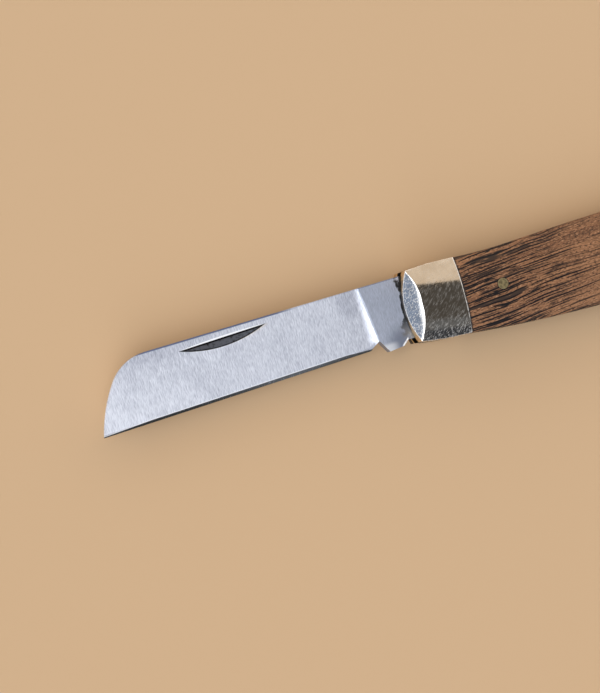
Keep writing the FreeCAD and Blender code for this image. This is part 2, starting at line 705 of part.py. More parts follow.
for side, word in ((1, "mark"), (-1, "pile")):
    low_side = side < 0

    # Liner: brass sheet, countersunk inside for the flared heads of the short pins.
    liner = new_body(f"liner_{word}")
    sketch = new_sketch(liner, "outline", base=(None, None, side * liner_level))
    handle_outline(sketch)
    pad(liner, sketch, dim.liner_thickness, downward=low_side)
    level = side * liner_level
    reach = dim.liner_thickness * 2
    up = side > 0
    drill(liner, "pivot", level, [pivot_spot], dim.pivot_radius + dim.pin_play, reach, up)
    through = [spring_spot, end_spot, cover_spot]
    drill(liner, "pins", level, through, dim.pin_radius + dim.pin_play, reach, up)
    last = drill(liner, "rivets", level, rivet_spots, dim.rivet_radius + dim.pin_play, reach, up)
    short_spots = [Vector(x.value, y.value, level.value) for x, y in rivet_spots + [cover_spot]]

    def inner_rim(edge):
        if not isinstance(edge.Curve, Part.Circle) or len(edge.Vertexes) != 1:
            return False
        return any((edge.Curve.Center - spot).Length < 0.01 for spot in short_spots)

    sink = liner.newObject("PartDesign::Chamfer", f"liner_{word}_countersinks")
    sink.Base = (last, edges_of(last, inner_rim))
    sink.setExpression("Size", dim.pin_flare.text)
    doc.recompute()
    finished.append(liner)

    # Bolster: crowned with the cover, bevelled at the front. The edge before the bevel is crisp.
    bolster = new_body(f"bolster_{word}")
    sketch = new_sketch(bolster, "outline", base=(None, None, side * cover_level))
    handle_outline(sketch)
    pad(bolster, sketch, dim.cover_height + dim.cut_spare / 2, downward=low_side)
    crown(bolster, side)
    joint_side(bolster, False)
    sway_x = front_top[0] - dim.sway_reach
    sway_y = front_top[1] - dim.sway_height - dim.sway_radius
    shoulder = dim.sway_radius - root(sway_x * sway_x + sway_y * sway_y) - dim.crown_flat
    brim = dim.crown_radius - root(dim.crown_radius * dim.crown_radius - shoulder * shoulder)
    brim_level = crest_level - brim
    bevel = new_sketch(bolster, "bevel", "XZ_Plane", None, -dim.rake)
    chord = -1 * dim.front_chord * cosine(dim.rake)
    bow_x = chord + dim.bevel_bow * sine(dim.bevel_angle)
    bow_z = brim_level - dim.bevel_bow * cosine(dim.bevel_angle)
    front_turn = dim.bevel_angle + dim.bevel_front_turn
    rear_turn = dim.bevel_angle - dim.bevel_rear_turn
    bevel_front = bow_x - dim.bevel_bow * sine(front_turn)
    bevel_foot = bow_z + dim.bevel_bow * cosine(front_turn)
    bevel_rear = bow_x - dim.bevel_bow * sine(rear_turn)
    bevel_top = bow_z + dim.bevel_bow * cosine(rear_turn)
    bevel_corners = [
        (bevel_front, side * bevel_foot),
        (bevel_rear, side * bevel_top),
        (bevel_front, side * bevel_top),
    ]
    draw(bevel, bevel_corners, {0: (dim.bevel_bow, -side)})
    last = cut(bolster, bevel, 4 * dim.back_height, middle=True)

    def behind_bevel(edge):
        return borders(last, edge, dim.bevel_bow) and min(slants(last, edge)) > 0.5

    last = soften(bolster, last, "bevel_edge", dim.bevel_round, behind_bevel)

    def along_cover(edge):
        spot = middle_of(edge)
        at_joint = abs(spot.x - dim.joint_reach.value - joint_rise.value * spot.y) < 0.01
        high = abs(spot.z) > cover_level.value + dim.joint_round.value
        return at_joint and high and max(slants(last, edge)) > 0.5

    last = soften(bolster, last, "joint_edge", dim.joint_round, along_cover)

    def outer_rim(edge):
        leans = slants(last, edge)
        spot = middle_of(edge)
        at_joint = abs(spot.x - dim.joint_reach.value - joint_rise.value * spot.y) < 0.05
        at_front = borders(last, edge, dim.front_radius)
        high = abs(spot.z) > cover_level.value + dim.bolster_round.value
        round_side = len(leans) == 2 and min(leans) < 0.05 and max(leans) > 0.3
        return round_side and high and not at_joint and not at_front

    last = soften(bolster, last, "rim", dim.bolster_round, outer_rim)
    level = side * cover_level
    drill(bolster, "pivot", level, [pivot_spot], dim.pivot_radius + dim.pin_play, 2 * dim.cover_height, up)
    grip = dim.rivet_grip + dim.pin_play
    drill(bolster, "rivets", level, rivet_spots, dim.rivet_radius + dim.pin_play, grip, up)
    finished.append(bolster)

    # Cover: wood, crowned along its length and round the butt.
    cover = new_body(f"cover_{word}")
    sketch = new_sketch(cover, "outline", base=(None, None, side * cover_level))
    handle_outline(sketch)
    pad(cover, sketch, dim.cover_height + dim.cut_spare / 2, downward=low_side)
    crown(cover, side, butt=True)
    last = joint_side(cover, True)
    soften(cover, last, "rim", dim.cover_round, outer_rim)
    drill(cover, "pins", level, through, dim.pin_radius + dim.pin_play, 2 * dim.cover_height, up)
    finished.append(cover)

    # Short pins: one through each cover and two in each bolster, flared in the liner's countersinks.
    shorts = [("cover_pin", cover_spot, dim.pin_radius, crest_level + dim.cut_spare)]
    for name, spot in zip(("bolster_rivet_back", "bolster_rivet_belly"), rivet_spots):
        shorts.append((name, spot, dim.rivet_radius, cover_level + dim.rivet_grip))
    for name, (x, y), radius, top in shorts:
        pin = new_body(f"{name}_{word}")
        sketch = new_sketch(pin, "profile", "XZ_Plane", (None, None, -1 * y))
        corners = [
            (x, side * liner_level),
            (x + radius + dim.pin_flare, side * liner_level),
            (x + radius, side * (liner_level + dim.pin_flare)),
            (x + radius, side * top),
            (x, side * top),
        ]
        draw(sketch, corners)
        draw_axis(sketch, x, side * liner_level, Vector(0, side, 0))
        turned = pin.newObject("PartDesign::Revolution", f"{pin.Name}_turned")
        turned.Profile = sketch
        turned.ReferenceAxis = (sketch, ["Axis0"])
        turned.Angle = 360
        doc.recompute()
        if name == "cover_pin":
            crown(pin, side)
        finished.append(pin)

# Long pins go through the whole handle and are ground flush with its crown.
long_pins = (
    ("pivot_pin", pivot_spot, dim.pivot_radius),
    ("spring_pin", spring_spot, dim.pin_radius),
    ("end_pin", end_spot, dim.pin_radius),
)
for name, spot, radius in long_pins:
    pin = new_body(name)
    sketch = new_sketch(pin, "section")
    draw_circles(sketch, [spot], radius)
    pad(pin, sketch, 2 * crest_level + dim.cut_spare, middle=True)
    crown(pin, 1)
    crown(pin, -1)
    finished.append(pin)

doc.recompute()
for thing in doc.Objects:
    if "Invalid" in thing.State or "Error" in thing.State:
        raise RuntimeError(f"{thing.Name} did not build: {thing.State}")
for body in finished:
    shape = body.Shape
    if shape.isNull() or not shape.isValid() or not shape.Solids:
        raise RuntimeError(f"{body.Label} has no valid solid")
for body in finished:
    body.Shape.exportStep(f"parts/{body.Label}.step")
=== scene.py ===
import json
import math

import bpy
import numpy as np
from mathutils import Matrix, Vector


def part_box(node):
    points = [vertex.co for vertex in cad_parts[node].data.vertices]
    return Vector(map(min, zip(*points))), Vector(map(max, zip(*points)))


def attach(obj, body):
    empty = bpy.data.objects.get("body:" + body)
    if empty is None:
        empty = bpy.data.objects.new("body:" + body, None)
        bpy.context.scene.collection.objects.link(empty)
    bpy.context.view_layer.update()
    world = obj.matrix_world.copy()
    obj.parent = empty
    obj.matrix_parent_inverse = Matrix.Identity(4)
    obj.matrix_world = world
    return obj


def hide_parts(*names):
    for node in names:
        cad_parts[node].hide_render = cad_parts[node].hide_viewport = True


# The knife as it was put together, and the box that it fills. Sizes below are millimetres about the
# pivot, with x toward the butt, y toward the back and z up from the middle of the blade. A mask's
# pair of borders runs from where it is 0 to where it is 1.
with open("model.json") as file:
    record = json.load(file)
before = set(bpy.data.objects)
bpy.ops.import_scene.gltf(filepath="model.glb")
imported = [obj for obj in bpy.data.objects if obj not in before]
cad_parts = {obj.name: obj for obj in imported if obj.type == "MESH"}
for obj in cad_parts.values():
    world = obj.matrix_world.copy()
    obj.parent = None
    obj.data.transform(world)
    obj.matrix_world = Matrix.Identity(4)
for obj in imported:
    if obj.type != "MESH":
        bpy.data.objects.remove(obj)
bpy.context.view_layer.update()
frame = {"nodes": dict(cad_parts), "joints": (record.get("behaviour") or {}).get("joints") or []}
nodes = frame["nodes"]
scene = bpy.context.scene
TO_MM = 1000.0
TO_METRES = 0.001
pivot = np.array(frame["joints"][0]["pos_m"]) * TO_MM


# Liners: two sheets of brass that carry everything else, filed flush with the covers and bolsters. Their
# edges in front are painted dark, except at the belly and at the back, where they stay bright brass. On
# their inner faces in the blade's slot, the dark is painted shade.
BRASS_BRIGHT = (0.82, 0.62, 0.29, 1.0)
BRASS_DULL = (0.62, 0.44, 0.19, 1.0)
BRASS_ROUGH = 0.28
BRASS_LINES_ROUGH = 0.18
BRASS_LINES_RELIEF = 0.004
LENGTHWISE = 1.57
FRONT_MIDDLE = (13.25, 0.9, 0.0)
FRONT_RADIUS = 19.0
LINER_DARK_AND_SLOT_SHADE = (0.045, 0.040, 0.034, 1.0)
DARKENED_FRONT = (-2.5, -1.5)
DARKENED_REACH = (4.0, 2.0)
SHADED_INSIDE = (1.45, 1.32)
BRIGHT_BELOW = (-2.4, -3.6)
BRIGHT_ABOVE = (7.0, 7.8)


def add(tree, kind, inputs=None, **settings):
    """A shader node; inputs are plain values or the sockets that feed them."""
    node = tree.nodes.new(kind)
    for name, value in settings.items():
        setattr(node, name, value)
    for name, value in (inputs or {}).items():
        if isinstance(value, bpy.types.NodeSocket):
            tree.links.new(value, node.inputs[name])
        else:
            node.inputs[name].default_value = value
    return node


def work(tree, operation, first, second=0.0, third=0.0, clamp=False):
    """One step of arithmetic."""
    inputs = {0: first, 1: second, 2: third}
    return add(tree, "ShaderNodeMath", inputs, operation=operation, use_clamp=clamp).outputs[0]


def ease(tree, value, low, high):
    """0 at the first border, 1 at the second and a smooth step between."""
    inputs = {"Value": value, "From Min": low, "From Max": high}
    return add(tree, "ShaderNodeMapRange", inputs, interpolation_type="SMOOTHSTEP").outputs[0]


def without(tree, mask):
    """The mask turned round."""
    return work(tree, "SUBTRACT", 1.0, mask)


def both(tree, *masks):
    """Where all the masks are: their product."""
    found = masks[0]
    for mask in masks[1:]:
        found = work(tree, "MULTIPLY", found, mask)
    return found


def either(tree, *masks):
    """Where any of the masks is: the largest."""
    found = masks[0]
    for mask in masks[1:]:
        found = work(tree, "MAXIMUM", found, mask)
    return found


def mix(tree, mask, first, second):
    """The first colour where the mask is 0, the second where it is 1."""
    return add(tree, "ShaderNodeMix", {0: mask, 6: first, 7: second}, data_type="RGBA").outputs[2]


def about_pivot(tree):
    """The place on the piece in millimetres about the pivot, and its three parts."""
    coordinates = add(tree, "ShaderNodeTexCoord")
    inputs = {"Vector": coordinates.outputs["Object"], "Location": -pivot, "Scale": (TO_MM,) * 3}
    place = add(tree, "ShaderNodeMapping", inputs).outputs[0]
    return place, add(tree, "ShaderNodeSeparateXYZ", {0: place}).outputs


def flat_distance(tree, place, middle):
    """How far a place lies from an upright axis."""
    level = add(tree, "ShaderNodeVectorMath", {0: place, 1: (1, 1, 0)}, operation="MULTIPLY").outputs[0]
    return add(tree, "ShaderNodeVectorMath", {0: level, 1: middle}, operation="DISTANCE").outputs["Value"]


def ahead_of_bolster(tree, place):
    """How far a place lies in front of the bolsters' curved front."""
    return work(tree, "SUBTRACT", flat_distance(tree, place, FRONT_MIDDLE), FRONT_RADIUS)


def new_finish(name):
    """A material with its node tree and its Principled shader."""
    material = bpy.data.materials.new(name)
    material.use_nodes = True
    return material, material.node_tree, material.node_tree.nodes["Principled BSDF"]


def feed(tree, shader, values):
    """Lead what changes over the surface to the shader's sockets."""
    for name, value in values.items():
        tree.links.new(value, shader.inputs[name])


def new_group(name, inputs, outputs):
    """An empty node group with float sockets, or vectors where the name is Place."""
    group = bpy.data.node_groups.new(name, "ShaderNodeTree")
    for word, default in inputs.items():
        kind = "NodeSocketVector" if word == "Place" else "NodeSocketFloat"
        socket = group.interface.new_socket(word, in_out="INPUT", socket_type=kind)
        if word != "Place":
            socket.default_value = default
    for word in outputs:
        group.interface.new_socket(word, in_out="OUTPUT", socket_type="NodeSocketFloat")
    return group, group.nodes.new("NodeGroupInput"), group.nodes.new("NodeGroupOutput")


# Hairlines: noise drawn out along one direction, as a wheel, a cloth or a pocket leaves them, and
# the scratches where it stands highest.
SCRATCH_HEIGHT = (0.58, 0.72)
hairlines, given, result = new_group(
    "hairlines", {"Place": None, "Turn": 0.0, "Fineness": 8.0, "Length": 6.0}, ("Height", "Scratch")
)
turned = {"Vector": given.outputs["Place"], "Angle": given.outputs["Turn"]}
turned = add(hairlines, "ShaderNodeVectorRotate", turned, rotation_type="Z_AXIS").outputs[0]
stretch = add(hairlines, "ShaderNodeCombineXYZ", {
    0: given.outputs["Fineness"],
    1: work(hairlines, "DIVIDE", 1.0, given.outputs["Length"]),
    2: given.outputs["Fineness"],
}).outputs[0]
drawn = add(hairlines, "ShaderNodeVectorMath", {0: turned, 1: stretch}, operation="MULTIPLY").outputs[0]
lines = {"Vector": drawn, "Scale": 1.0, "Detail": 2.0}
lines = add(hairlines, "ShaderNodeTexNoise", lines).outputs["Fac"]
hairlines.links.new(lines, result.inputs["Height"])
hairlines.links.new(ease(hairlines, lines, *SCRATCH_HEIGHT), result.inputs["Scratch"])

# Tarnish: soft uneven patches of a given size.
tarnish, given, result = new_group(
    "tarnish", {"Place": None, "Size": 4.0, "Low": 0.45, "High": 0.65}, ("Mask",)
)
scaled = {0: given.outputs["Place"], "Scale": work(tarnish, "DIVIDE", 1.0, given.outputs["Size"])}
scaled = add(tarnish, "ShaderNodeVectorMath", scaled, operation="SCALE").outputs[0]
patches = {"Vector": scaled, "Scale": 1.0, "Detail": 4.0}
patches = add(tarnish, "ShaderNodeTexNoise", patches).outputs["Fac"]
mask = ease(tarnish, patches, given.outputs["Low"], given.outputs["High"])
tarnish.links.new(mask, result.inputs["Mask"])


def effect(tree, group, place, **values):
    """One of the groups, placed in a material with its own values."""
    node = add(tree, "ShaderNodeGroup", node_tree=group)
    tree.links.new(place, node.inputs["Place"])
    for name, value in values.items():
        node.inputs[name].default_value = value
    return node.outputs


def bump(tree, height, distance, under=None):
    """A bump of so many millimetres, on another one where it is given."""
    inputs = {"Height": height, "Distance": distance * TO_METRES}
    if under is not None:
        inputs["Normal"] = under
    return add(tree, "ShaderNodeBump", inputs).outputs[0]


def dress(material, *names):
    """Give pieces of the knife their finish."""
    for name in names:
        nodes[name].data.materials.clear()
        nodes[name].data.materials.append(material)


def filed_brass():
    """Brass with tarnish patches and file lines along the handle, painted dark on its front edge, and
    painted shade on its inner faces in the slot.
    """
    material, tree, shader = new_finish("filed_liner_brass")
    place, parts = about_pivot(tree)
    patches = effect(tree, tarnish, place, Size=3.5, Low=0.40, High=0.70)["Mask"]
    lines = effect(tree, hairlines, place, Turn=LENGTHWISE, Fineness=7.0, Length=2.2)
    lit_and_rubbed = either(tree, ease(tree, parts["Y"], *BRIGHT_BELOW), ease(tree, parts["Y"], *BRIGHT_ABOVE))
    front = ease(tree, ahead_of_bolster(tree, place), *DARKENED_FRONT)
    front = both(tree, front, without(tree, lit_and_rubbed), ease(tree, parts["X"], *DARKENED_REACH))
    # Painted shade: the inner faces in the blade's slot are painted near-black.
    inside = ease(tree, work(tree, "ABSOLUTE", parts["Z"]), *SHADED_INSIDE)
    colour = mix(tree, patches, BRASS_BRIGHT, BRASS_DULL)
    feed(tree, shader, {
        "Base Color": mix(tree, either(tree, front, inside), colour, LINER_DARK_AND_SLOT_SHADE),
        "Roughness": work(tree, "MULTIPLY_ADD", lines["Scratch"], BRASS_LINES_ROUGH, BRASS_ROUGH),
        "Normal": bump(tree, lines["Height"], BRASS_LINES_RELIEF),
    })
    shader.inputs["Metallic"].default_value = 1.0
    return material


dress(filed_brass(), "liner_mark", "liner_pile")


# Bolsters: cast nickel silver, riveted to the liners from inside, rounded and buffed until they
# mirror the room. A pocket has covered them with fine slanting scratches and a few deeper ones.
NICKEL_BRIGHT = (0.78, 0.75, 0.70, 1.0)
NICKEL_WARM = (0.70, 0.66, 0.60, 1.0)
NICKEL_ROUGH = 0.09
RAKE = math.tan(math.radians(1.8))
JOINT = 6.96
HALF_THICK = 5.6
CREST = 1.6
CREST_LEAN = -0.065
CROWN_FLAT = 1.0
CROWN_RADIUS = 17.0
BEVEL_SUNK = (0.05, 0.15)
BUFFED_MIDDLE = (1.5, 5.3)
CROWN_TWIST = -0.006
BEVEL_TWIST = 0.0038
EDGE_WORN_HIGHLIGHT = (1.0, 0.96, 0.90, 1.0)
EDGE_SCATTER = -0.75
EDGE_ROUGH = 0.5
FRONT_EDGE = (-0.16, -0.11)
FRONT_EDGE_SHARE = 0.5
REAR_EDGE = (-0.36, -0.22)
REAR_WHOLE = (1.5, 4.0)
REAR_LEFT = 0.25
WALL_WARM_LIT = (0.66, 0.46, 0.25, 1.0)
WALL_DARK_SHADE = (0.10, 0.08, 0.06, 1.0)
WALL_ROUGH = 0.6
FRONT_WALL = (-0.05, -0.01)
WALL_LIT_HALF = (-0.1, 0.1)
WALL_BELLY = (-0.5, -2.5)
WALL_BACK = (4.0, 6.0)
WALL_BACK_SHARE = 0.5
HAIR_HEIGHT = (0.54, 0.68)
HAIR_ROUGH = 0.06
HAIR_RELIEF = 0.0016
CUT_RELIEF = 0.0035
HAIR_SCATTER = -0.13
BELLY_SCATTER = -0.21
BEVEL_SCATTER = -0.42
POCKET_SIDE = (-1.0, -6.0)


def scratched_nickel():
    """Buffed metal whose scratches scatter light, a little twisted by the wheel, with a painted highlight on
    its rubbed edges. On the upright wall in front, which no wheel reaches, warm light and dark shade are
    painted."""
    material, tree, shader = new_finish("buffed_nickel_silver")
    place, parts = about_pivot(tree)
    x, y, z = parts["X"], parts["Y"], parts["Z"]
    patches = effect(tree, tarnish, place, Size=2.0, Low=0.35, High=0.70)["Mask"]
    hairs = effect(tree, hairlines, place, Turn=0.87, Fineness=4.4, Length=1.7)
    fine = effect(tree, hairlines, place, Turn=0.72, Fineness=5.2, Length=1.4)
    cuts = effect(tree, hairlines, place, Turn=1.02, Fineness=4.5, Length=0.9)
    # The front edge is rubbed, and so is the rear one, where knocks have broken it up; both get a painted
    # highlight, a near-white line with less metal.
    ahead = ahead_of_bolster(tree, place)
    wall = ease(tree, ahead, *FRONT_WALL)
    front = both(tree, ease(tree, ahead, *FRONT_EDGE), without(tree, wall), FRONT_EDGE_SHARE)
    rear = work(tree, "SUBTRACT", x, work(tree, "MULTIPLY_ADD", y, RAKE, JOINT))
    knocks = effect(tree, tarnish, place, Size=1.4, Low=0.42, High=0.58)["Mask"]
    knocks = either(tree, knocks, ease(tree, y, *REAR_WHOLE))
    knocks = work(tree, "MULTIPLY_ADD", knocks, 1 - REAR_LEFT, REAR_LEFT)
    edge_highlight = either(tree, front, both(tree, ease(tree, rear, *REAR_EDGE), knocks))
    # The bevel in front lies lower than the round of the crown goes.
    shoulder = work(tree, "SUBTRACT", y, work(tree, "MULTIPLY_ADD", x, CREST_LEAN, CREST))
    shoulder = work(tree, "SUBTRACT", work(tree, "ABSOLUTE", shoulder), CROWN_FLAT)
    shoulder = work(tree, "MAXIMUM", shoulder, 0.0)
    fall = work(tree, "DIVIDE", work(tree, "MULTIPLY", shoulder, shoulder), 2 * CROWN_RADIUS)
    sunk = work(tree, "SUBTRACT", HALF_THICK, work(tree, "ADD", fall, work(tree, "ABSOLUTE", z)))
    bevel = ease(tree, sunk, *BEVEL_SUNK)
    # The upright wall in front is painted: warm light on its upper half at the belly, fainter at the back,
    # and on the whole wall at its upper back corner; dark shade everywhere else.
    lit_and_rubbed = either(tree, ease(tree, y, *WALL_BELLY), both(tree, ease(tree, y, *WALL_BACK), WALL_BACK_SHARE))
    lit_and_rubbed = both(tree, ease(tree, z, *WALL_LIT_HALF), lit_and_rubbed)
    lit_and_rubbed = either(tree, lit_and_rubbed, ease(tree, y, *BRIGHT_ABOVE))
    colour = mix(tree, patches, NICKEL_BRIGHT, NICKEL_WARM)
    colour = mix(tree, edge_highlight, colour, EDGE_WORN_HIGHLIGHT)
    colour = mix(tree, wall, colour, mix(tree, lit_and_rubbed, WALL_DARK_SHADE, WALL_WARM_LIT))
    # Scratches scatter more light toward the belly and on the bevel.
    scratch = ease(tree, either(tree, hairs["Height"], fine["Height"]), *HAIR_HEIGHT)
    scatter = work(tree, "MULTIPLY_ADD", ease(tree, y, *POCKET_SIDE), BELLY_SCATTER, HAIR_SCATTER)
    scatter = work(tree, "MULTIPLY_ADD", bevel, BEVEL_SCATTER, scatter)
    metal = work(tree, "MULTIPLY_ADD", scratch, scatter, 1.0)
    rough = work(tree, "MULTIPLY_ADD", scratch, HAIR_ROUGH, NICKEL_ROUGH)
    # The wheel has turned the crown a little one way along the handle, and the bevel the other way.
    twist = work(tree, "SUBTRACT", x, BUFFED_MIDDLE[0])
    twist = work(tree, "MULTIPLY", work(tree, "SUBTRACT", y, BUFFED_MIDDLE[1]), twist)
    on_crown = bump(tree, work(tree, "MULTIPLY", twist, CROWN_TWIST), 1.0)
    on_bevel = bump(tree, work(tree, "MULTIPLY", twist, BEVEL_TWIST), 1.0)
    buffed = add(tree, "ShaderNodeMix", {0: bevel, 4: on_crown, 5: on_bevel}, data_type="VECTOR").outputs[1]
    lined = bump(tree, hairs["Height"], HAIR_RELIEF, under=buffed)
    feed(tree, shader, {
        "Base Color": colour,
        "Metallic": work(tree, "MULTIPLY_ADD", edge_highlight, EDGE_SCATTER, metal, clamp=True),
        "Roughness": either(tree, rough, both(tree, edge_highlight, EDGE_ROUGH), both(tree, wall, WALL_ROUGH)),
        "Normal": bump(tree, cuts["Scratch"], CUT_RELIEF, under=lined),
    })
    return material


nickel = scratched_nickel()
dress(nickel, "bolster_mark", "bolster_pile")


# Rivets and pivot pin: wire of the same nickel silver. Four hidden rivets hold the bolsters on the
# liners, and the pivot pin goes through bolsters, liners and tang and is ground flush with them.
dress(nickel, "bolster_rivet_back_mark", "bolster_rivet_belly_mark")
dress(nickel, "bolster_rivet_back_pile", "bolster_rivet_belly_pile")
dress(nickel, "pivot_pin")


# Covers: two slabs of open-grained brown hardwood, riveted to the liners and worked down flush with
# the bolsters. The open vessels of the wood are real grooves, dark with old polish and pocket dirt.
JOINT_TOP = 9.25
JOINT_FOOT = -6.98
JOINT_BACK = (JOINT + RAKE * JOINT_TOP, JOINT_TOP)
JOINT_BELLY = (JOINT + RAKE * JOINT_FOOT, JOINT_FOOT)
SADDLE = (20.0, 9.05)
BACK_PEAK = 64.5
BELLY_PEAK = 44.2
BUTT_RADIUS = 7.5
BUTT_HEIGHT = 0.8
SWAY_RADIUS = 600.0
SWAY_MIDDLE = (42.0, 600.1)
COVER_ROUND = 0.6
FRONT_ROUND = 0.12
WOOD_SINK = 0.03
FRONT_SECTIONS = (0.0, 0.02, 0.05, 0.09, 0.14, 0.22)
SECTION_START = 0.2
SECTION_STEP = 0.26
BUTT_START = 4.0
BUTT_SECTIONS = 64
BUTT_SHORT = 0.002
LEAN_REACH = 12.0
LEAN_ROUNDS = 4
RIM_ROWS = 9
RIM_SHARE = 0.07
CROWN_SHARE = (0.035, 0.965)
CROWN_ROWS = 226
WALL_ROWS = 7
SHARP_TURN = math.radians(58)

cover_low, cover_high = (np.array(corner_reflection) * TO_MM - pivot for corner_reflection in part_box("cover_mark"))
butt_middle = (cover_high[0] - BUTT_RADIUS, BUTT_HEIGHT)


def tangent_arc(peak, height):
    """The arc that is level at a peak of the back or belly and runs into the rounding of the butt."""
    run = butt_middle[0] - peak
    fall = abs(height - BUTT_HEIGHT)
    radius = (run * run / (fall - BUTT_RADIUS) + BUTT_RADIUS + fall) / 2
    end = butt_middle[0] + BUTT_RADIUS * run / (radius - BUTT_RADIUS)
    return end, (peak, height - math.copysign(radius, height)), radius


def level_arc(spot, peak, height):
    """The arc that is level at a peak and passes through a spot."""
    run = peak - spot[0]
    fall = abs(height - spot[1])
    radius = (run * run + fall * fall) / (2 * fall)
    return (peak, height - math.copysign(radius, height)), radius


def hollow_arc(middle, radius):
    """The hollow arc that leaves the back's long arc at the saddle and ends at the bolster."""
    out = (np.array(SADDLE) - middle) / radius
    chord = np.array(JOINT_BACK) - SADDLE
    hollow = chord @ chord / (2 * chord @ out)
    return tuple(SADDLE + out * hollow), hollow


# Each arc of the outline: where it ends, its middle, its radius, the half of the circle that is
# used, and +1 where it swells or -1 where it is hollow.
back_middle, back_radius = level_arc(SADDLE, BACK_PEAK, cover_high[1])
hollow_middle, hollow_radius = hollow_arc(back_middle, back_radius)
upper_end, upper_middle, upper_radius = tangent_arc(BACK_PEAK, cover_high[1])
belly_middle, belly_radius = level_arc(JOINT_BELLY, BELLY_PEAK, cover_low[1])
lower_end, lower_middle, lower_radius = tangent_arc(BELLY_PEAK, cover_low[1])
back_arcs = (
    (SADDLE[0], hollow_middle, hollow_radius, -1, -1),
    (BACK_PEAK, back_middle, back_radius, 1, 1),
    (upper_end, upper_middle, upper_radius, 1, 1),
    (np.inf, butt_middle, BUTT_RADIUS, 1, 1),
)
belly_arcs = (
    (BELLY_PEAK, belly_middle, belly_radius, -1, 1),
    (lower_end, lower_middle, lower_radius, -1, 1),
    (np.inf, butt_middle, BUTT_RADIUS, -1, 1),
)


def outline(x, arcs):
    """The height of the back or belly over x: the arc whose stretch x falls in."""
    heights = [m[1] + half * np.sqrt(np.maximum(r * r - (x - m[0]) ** 2, 0)) for _, m, r, half, _ in arcs]
    return np.select([x < arc[0] for arc in arcs], heights)


def inward(x, y, arcs):
    """How far a place lies inside the back or belly: its distance from that stretch's arc."""
    depths = [swell * (r - np.hypot(x - m[0], y - m[1])) for _, m, r, _, swell in arcs]
    return np.select([x < arc[0] for arc in arcs], depths)


def crown(x, y):
    """The crown's height: a flat crest along the sway's great circle, a round shoulder on each side
    of it, and the same shoulder turned about the middle of the butt."""
    turn = math.asin((butt_middle[0] - SWAY_MIDDLE[0]) / SWAY_RADIUS)
    station = np.array(SWAY_MIDDLE) + SWAY_RADIUS * np.array((math.sin(turn), -math.cos(turn)))
    beyond = (x - station[0]) * math.cos(turn) + (y - station[1]) * math.sin(turn) > 0
    aside = np.abs(SWAY_RADIUS - np.hypot(x - SWAY_MIDDLE[0], y - SWAY_MIDDLE[1]))
    aside = np.where(beyond, np.hypot(x - station[0], y - station[1]), aside)
    shoulder = np.maximum(aside - CROWN_FLAT, 0)
    return cover_high[2] - CROWN_RADIUS + np.sqrt(CROWN_RADIUS ** 2 - shoulder ** 2)


def rounding(depth, radius):
    """How far a rounded edge falls, by the distance from the edge: a quarter circle."""
    short = np.clip(radius - depth, 0, radius)
    return radius - np.sqrt(radius * radius - short * short)


def cover_sections():
    """Sections of the cover from the bolster to the butt: each a straight line from belly to back,
    leaning with the joint in front and drawn together round the butt by a sine."""
    front = JOINT + np.array(FRONT_SECTIONS)
    straight = np.arange(front[-1] + SECTION_START, butt_middle[0] - BUTT_START, SECTION_STEP)
    turn = np.linspace(0, math.pi / 2, BUTT_SECTIONS)[1:]
    rounded = straight[-1] + (cover_high[0] - BUTT_SHORT - straight[-1]) * np.sin(turn)
    column = np.concatenate((front, straight, rounded))
    lean = RAKE * np.clip(1 - (column - JOINT) / LEAN_REACH, 0, 1)
    ends = []
    for arcs in (belly_arcs, back_arcs):
        x = column.copy()
        for _ in range(LEAN_ROUNDS):
            x = np.minimum(column + lean * outline(x, arcs), cover_high[0] - BUTT_SHORT)
        ends.append((x, outline(x, arcs)))
    return column, ends


def plain_cover():
    """The cover before its vessels open, as arrays of sections by rows: over the crown from belly to
    back, down the back wall and up the belly wall. With x, y and z go the distance in from the rim
    on the crown, the way down each wall, and +1 on the back wall or -1 on the belly wall."""
    column, ((low_x, low_y), (top_x, top_y)) = cover_sections()
    rim = RIM_SHARE * (0.5 - 0.5 * np.cos(np.linspace(0, math.pi / 2, RIM_ROWS)[:-1]))
    share = np.concatenate((rim, np.linspace(*CROWN_SHARE, CROWN_ROWS), 1 - rim[::-1]))
    x = low_x[:, None] + (top_x - low_x)[:, None] * share
    y = low_y[:, None] + (top_y - low_y)[:, None] * share
    inside = np.minimum(inward(x, y, back_arcs), inward(x, y, belly_arcs))
    z = crown(x, y) - WOOD_SINK - rounding(inside, COVER_ROUND)
    z -= rounding((column - JOINT)[:, None] + 0 * x, FRONT_ROUND)
    steps = np.linspace(0, 1, WALL_ROWS)[1:]
    back_z = z[:, -1:] + (cover_low[2] - z[:, -1:]) * steps
    belly_z = z[:, :1] + (cover_low[2] - z[:, :1]) * steps[::-1]
    wide = np.ones((1, len(steps)))
    x = np.hstack((x, top_x[:, None] * wide, low_x[:, None] * wide))
    y = np.hstack((y, top_y[:, None] * wide, low_y[:, None] * wide))
    inside = np.hstack((inside, 0 * back_z, 0 * belly_z))
    down = np.hstack((0 * z, z[:, -1:] - back_z, z[:, :1] - belly_z))
    outward = np.hstack((0 * z, 0 * back_z + 1, 0 * belly_z - 1))
    return x, y, np.hstack((z, back_z, belly_z)), inside, down, outward


